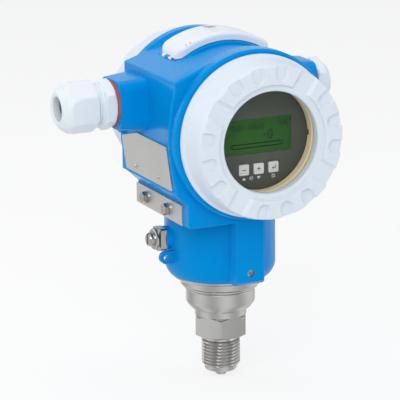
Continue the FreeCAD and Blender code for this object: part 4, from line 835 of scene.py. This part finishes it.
# %% Dot patterns
DIGITS = {
    "0": ("01110", "10001", "10001", "10001", "10001", "10001", "01110"),
    "1": ("00100", "01100", "00100", "00100", "00100", "00100", "01110"),
    "2": ("01110", "10001", "00001", "00110", "01000", "10000", "11111"),
    "4": ("00010", "00110", "01010", "10010", "11111", "00010", "00010"),
    "-": ("00000", "00000", "00000", "01110", "00000", "00000", "00000"),
    ".": ("00", "00", "00", "00", "00", "11", "11")}
SIGNS = {
    "minus": ("11111",),
    "plus": ("00100", "00100", "11111", "00100", "00100"),
    "enter": ("000001", "000001", "001001", "011111", "001000"),
    "up": ("00100", "01110", "11111", "11111"),
    "down": ("11111", "11111", "01110", "00100"),
    "ring": ("001110", "010001", "110001", "010010", "001100"),
    "page": ("11110", "10011", "10001", "10001", "11111")}


def dot_grid(rows):
    """Rows of 0 and 1 as an array of lit dots."""
    return np.array([[int(mark) for mark in row] for row in rows])


def digit_grid(text):
    """Digits side by side with one dark column between them."""
    parts = [np.pad(dot_grid(DIGITS[mark]), ((0, 0), (0, 1))) for mark in text]
    return np.hstack(parts)[:, :-1]


def dot_centres(grid, cell, middle):
    """World x and z of the lit dots of a grid whose centre is at the middle (x, z)."""
    spots = np.argwhere(grid)
    x = (spots[:, 1] - (grid.shape[1] - 1) / 2) * cell[0] + middle[0]
    z = ((grid.shape[0] - 1) / 2 - spots[:, 0]) * cell[1] + middle[1]
    return np.stack([x, z], axis=1)


DOT_FILL = 0.96               # share of its cell that a dot covers
PRINT_GAP = 0.004
PRINT_T = 0.05


def print_dots(name, centres, cell, face_y, body, slot):
    """One closed flat box in front of a face for each dot: centre plus or minus half a cell."""
    corner = np.array([[-1, 0, -1], [1, 0, -1], [1, 0, 1], [-1, 0, 1],
                       [-1, 1, -1], [1, 1, -1], [1, 1, 1], [-1, 1, 1]])
    half = np.array([cell[0] * DOT_FILL / 2, -PRINT_T, cell[1] * DOT_FILL / 2])
    base = np.stack([centres[:, 0], np.full(len(centres), face_y - PRINT_GAP), centres[:, 1]], axis=1)
    points = (base[:, None] + corner[None] * half).reshape(-1, 3) * MM
    sides = np.array([[0, 1, 2, 3], [5, 4, 7, 6], [4, 5, 1, 0], [6, 7, 3, 2], [7, 4, 0, 3], [5, 6, 2, 1]])
    quads = (np.arange(len(centres))[:, None, None] * 8 + sides[None]).reshape(-1, 4)
    if signed_volume(points, quads) < 0:
        quads = quads[:, ::-1]
    mesh = bpy.data.meshes.new(name)
    mesh.from_pydata(points.tolist(), [], quads.tolist())
    return finish_mesh(mesh, name, body, slot)


# %% Numbers and bar on the screen
screen_low, screen_high = node_box("display_screen")
SCREEN_Y = screen_low[1]
SCREEN_X = (screen_low[0] + screen_high[0]) / 2
SCREEN_TOP = screen_high[2]
SMALL = (0.46, 0.44)
TALL = (0.56, 0.7)
BAR_LINE = 0.5
readings = [(digit_grid("0.0-10.0"), SMALL, (-6.0, -4.2)), (digit_grid("24"), SMALL, (14.6, -3.7)),
            (digit_grid("-0"), TALL, (5.4, -9.0)), (dot_grid(("11", "11")), SMALL, (-13.8, -8.0))]
for number, (grid, cell, (x, down)) in enumerate(readings):
    centres = dot_centres(grid, cell, (SCREEN_X + x, SCREEN_TOP + down))
    print_dots(f"screen_digits_{number}", centres, cell, SCREEN_Y, "display", "module_black")

bar_half = (14.8, 1.25)
bar = soften([(-bar_half[0], -bar_half[1], 1.2), (bar_half[0], -bar_half[1], 0.3),
              (bar_half[0], bar_half[1], 0.3), (-bar_half[0], bar_half[1], 1.2)])
inset = bar * (1 - BAR_LINE / np.array(bar_half))
bar_x, bar_z = SCREEN_X - 0.5, SCREEN_TOP - 14.1
bar_back = SCREEN_Y - PRINT_GAP
bar_front = bar_back - PRINT_T
loops = [(bar, bar_back), (bar, bar_front), (inset, bar_front), (inset, bar_back)]
bar_points = np.stack([np.stack([loop[:, 0] + bar_x, np.full(len(loop), y), loop[:, 1] + bar_z], axis=1)
                       for loop, y in loops])
make_piece("screen_bar", bar_points, "display", "module_black")
print("screen signs on y", round(SCREEN_Y, 2))

# %% Marks on the keys and under them
KEY_DOT = (0.42, 0.42)
SIGN_DOT = (0.36, 0.36)
SIGN_DROP = 1.9
for name in ("minus", "plus", "enter"):
    key = "display_key_" + name
    low, high = node_box(key)
    centres = dot_centres(dot_grid(SIGNS[name]), KEY_DOT, ((low[0] + high[0]) / 2, (low[2] + high[2]) / 2))
    print_dots("key_mark_" + name, centres, KEY_DOT, low[1], key, "grey_rubber")
module_y = node_box("display_module")[0][1]
sign_z = node_box("display_key_plus")[0][2] - SIGN_DROP
for name, x in (("up", -8.5), ("ring", -4.3), ("down", 0.0), ("page", 8.5)):
    centres = dot_centres(dot_grid(SIGNS[name]), SIGN_DOT, (SCREEN_X + x, sign_z))
    print_dots("sign_" + name, centres, SIGN_DOT, module_y, "display", "key_grey")
print("key marks and signs made")

# %% [markdown]
# ## Studio
#
# A white floor and a white world, a large soft key light from the upper left, a
# fill from the right, a panel overhead and one behind.  In reflections alone the
# white is brighter in four directions and greyer between them, as if four soft
# panels stood around the object: that draws the upright bands on the turned
# steel.  The camera sees plain white.

# %% Panels in the reflections
PANELS = 4.0
PANEL_TURN = math.radians(24)
GAP_STRENGTH = 0.6
PANEL_STRENGTH = 1.0


def maths(tree, kind, *values):
    """Output of one math node whose inputs are numbers or sockets."""
    return add(tree, "ShaderNodeMath", dict(enumerate(values)), operation=kind).outputs[0]


def white_for_rays(tree, rays, where):
    """Strength of the white: 1 for the camera, and s = m + h cos(4 a + p) for reflections.

    The angle a is that of the vector around the vertical axis, m and h are the middle
    and half of the way from GAP_STRENGTH to PANEL_STRENGTH, and p is PANEL_TURN."""
    parts = add(tree, "ShaderNodeSeparateXYZ", {0: where})
    angle = maths(tree, "ARCTAN2", parts.outputs["Y"], parts.outputs["X"])
    wave = maths(tree, "COSINE", maths(tree, "MULTIPLY_ADD", angle, PANELS, PANEL_TURN))
    strength = maths(tree, "MULTIPLY_ADD", wave, (PANEL_STRENGTH - GAP_STRENGTH) / 2,
                     (PANEL_STRENGTH + GAP_STRENGTH) / 2)
    direct = maths(tree, "SUBTRACT", 1.0, rays.outputs["Is Glossy Ray"])
    return maths(tree, "MAXIMUM", direct, strength)


def seen_directly(tree, rays):
    """1 for camera, glossy and transmission rays, 0 for the rays that light the object."""
    seen = maths(tree, "MAXIMUM", rays.outputs["Is Camera Ray"], rays.outputs["Is Glossy Ray"])
    return maths(tree, "MAXIMUM", seen, rays.outputs["Is Transmission Ray"])


# %% Floor
FLOOR_Z = cad_bounds[0][2] - 0.0004
FLOOR_HALF = 3.0
FLOOR_GLOW = 0.8
floor_mesh = bpy.data.meshes.new("floor")
floor_corners = [(x * FLOOR_HALF, y * FLOOR_HALF, FLOOR_Z) for x, y in ((-1, -1), (1, -1), (1, 1), (-1, 1))]
floor_mesh.from_pydata(floor_corners, [], [(0, 1, 2, 3)])
floor = bpy.data.objects.new("floor", floor_mesh)
bpy.context.scene.collection.objects.link(floor)
paper, tree, out = new_finish("paper_floor")
shade = add(tree, "ShaderNodeBsdfPrincipled", {"Base Color": colour("#F2F2F2"), "Roughness": 0.9})
rays = add(tree, "ShaderNodeLightPath")
spot = add(tree, "ShaderNodeTexCoord")
white = white_for_rays(tree, rays, spot.outputs["Object"])
glow = add(tree, "ShaderNodeEmission", {"Color": (1, 1, 1, 1), "Strength": white})
mix = add(tree, "ShaderNodeMixShader", {0: maths(tree, "MULTIPLY", seen_directly(tree, rays), FLOOR_GLOW)})
tree.links.new(shade.outputs["BSDF"], mix.inputs[1])
tree.links.new(glow.outputs["Emission"], mix.inputs[2])
tree.links.new(mix.outputs["Shader"], out.inputs["Surface"])
floor_mesh.materials.append(paper)

# %% World
world = bpy.data.worlds.new("studio")
bpy.context.scene.world = world
world.use_nodes = True
tree = world.node_tree
tree.nodes.clear()
rays = add(tree, "ShaderNodeLightPath")
heading = add(tree, "ShaderNodeTexCoord")
strength = white_for_rays(tree, rays, heading.outputs["Generated"])
room = add(tree, "ShaderNodeBackground", {"Color": colour("#E8ECF2"), "Strength": 0.55})
white = add(tree, "ShaderNodeBackground", {"Color": (1, 1, 1, 1), "Strength": strength})
mix = add(tree, "ShaderNodeMixShader",
          {0: seen_directly(tree, rays), 1: room.outputs[0], 2: white.outputs[0]})
add(tree, "ShaderNodeOutputWorld", {"Surface": mix.outputs[0]})


# %% Lamps
def soft_lamp(name, spot, aim, size, watts, tint="#FFFFFF"):
    """Rectangular area lamp at a spot, turned towards a point, sizes in metres."""
    data = bpy.data.lights.new(name, "AREA")
    data.shape = "RECTANGLE"
    data.size, data.size_y = size
    data.energy = watts
    data.color = colour(tint)[:3]
    lamp = bpy.data.objects.new(name, data)
    lamp.location = spot
    toward = np.array(aim) - np.array(spot)
    yaw = math.atan2(toward[1], toward[0]) - math.pi / 2
    pitch = math.acos(-toward[2] / np.linalg.norm(toward))
    lamp.rotation_euler = (pitch, 0, yaw)
    bpy.context.scene.collection.objects.link(lamp)
    return lamp


LAMP_AIM = (0.0, 0.0, 0.08)
soft_lamp("key", (-0.55, -0.75, 0.75), LAMP_AIM, (0.7, 0.7), 6.0)
soft_lamp("fill", (0.85, -0.55, 0.35), LAMP_AIM, (0.6, 0.9), 2.0, "#F4F8FF")
soft_lamp("top", (0.0, 0.15, 1.0), LAMP_AIM, (0.9, 0.6), 2.4)
soft_lamp("back", (-0.7, 0.6, 0.4), LAMP_AIM, (0.6, 0.6), 1.8)

# %% [markdown]
# ### Camera
#
# The lens stands 1.4 m away, 25 degrees round to the left and 15 degrees up.  A
# long lens at that distance keeps parallel edges nearly parallel.  The camera
# rolls by about half a degree, as a hand-levelled one does.

# %% Camera
CAMERA_AZIMUTH = math.radians(-25.056)
CAMERA_HEIGHT = math.radians(14.680)
CAMERA_DISTANCE = 1.4
CAMERA_ROLL = math.radians(-0.625)
CAMERA_AIM = np.array([-0.01148, 0.0, 0.07569])
outward = np.array([math.sin(CAMERA_AZIMUTH) * math.cos(CAMERA_HEIGHT),
                    -math.cos(CAMERA_AZIMUTH) * math.cos(CAMERA_HEIGHT), math.sin(CAMERA_HEIGHT)])
right = np.cross((0, 0, 1), outward)
right /= np.linalg.norm(right)
above = np.cross(outward, right)
rolled_right = math.cos(CAMERA_ROLL) * right + math.sin(CAMERA_ROLL) * above
rolled_above = -math.sin(CAMERA_ROLL) * right + math.cos(CAMERA_ROLL) * above
lens = bpy.data.cameras.new("camera")
lens.sensor_width = 36.0
lens.lens = 236.2
lens.clip_start = 0.05
camera = bpy.data.objects.new("camera", lens)
pose = np.eye(4)
pose[:3, 0], pose[:3, 1], pose[:3, 2] = rolled_right, rolled_above, outward
pose[:3, 3] = CAMERA_AIM + outward * CAMERA_DISTANCE
camera.matrix_world = Matrix(pose.tolist())
bpy.context.scene.collection.objects.link(camera)
bpy.context.scene.camera = camera
bpy.context.scene.view_settings.view_transform = "Standard"

# %% Update the view layer
bpy.context.view_layer.update()
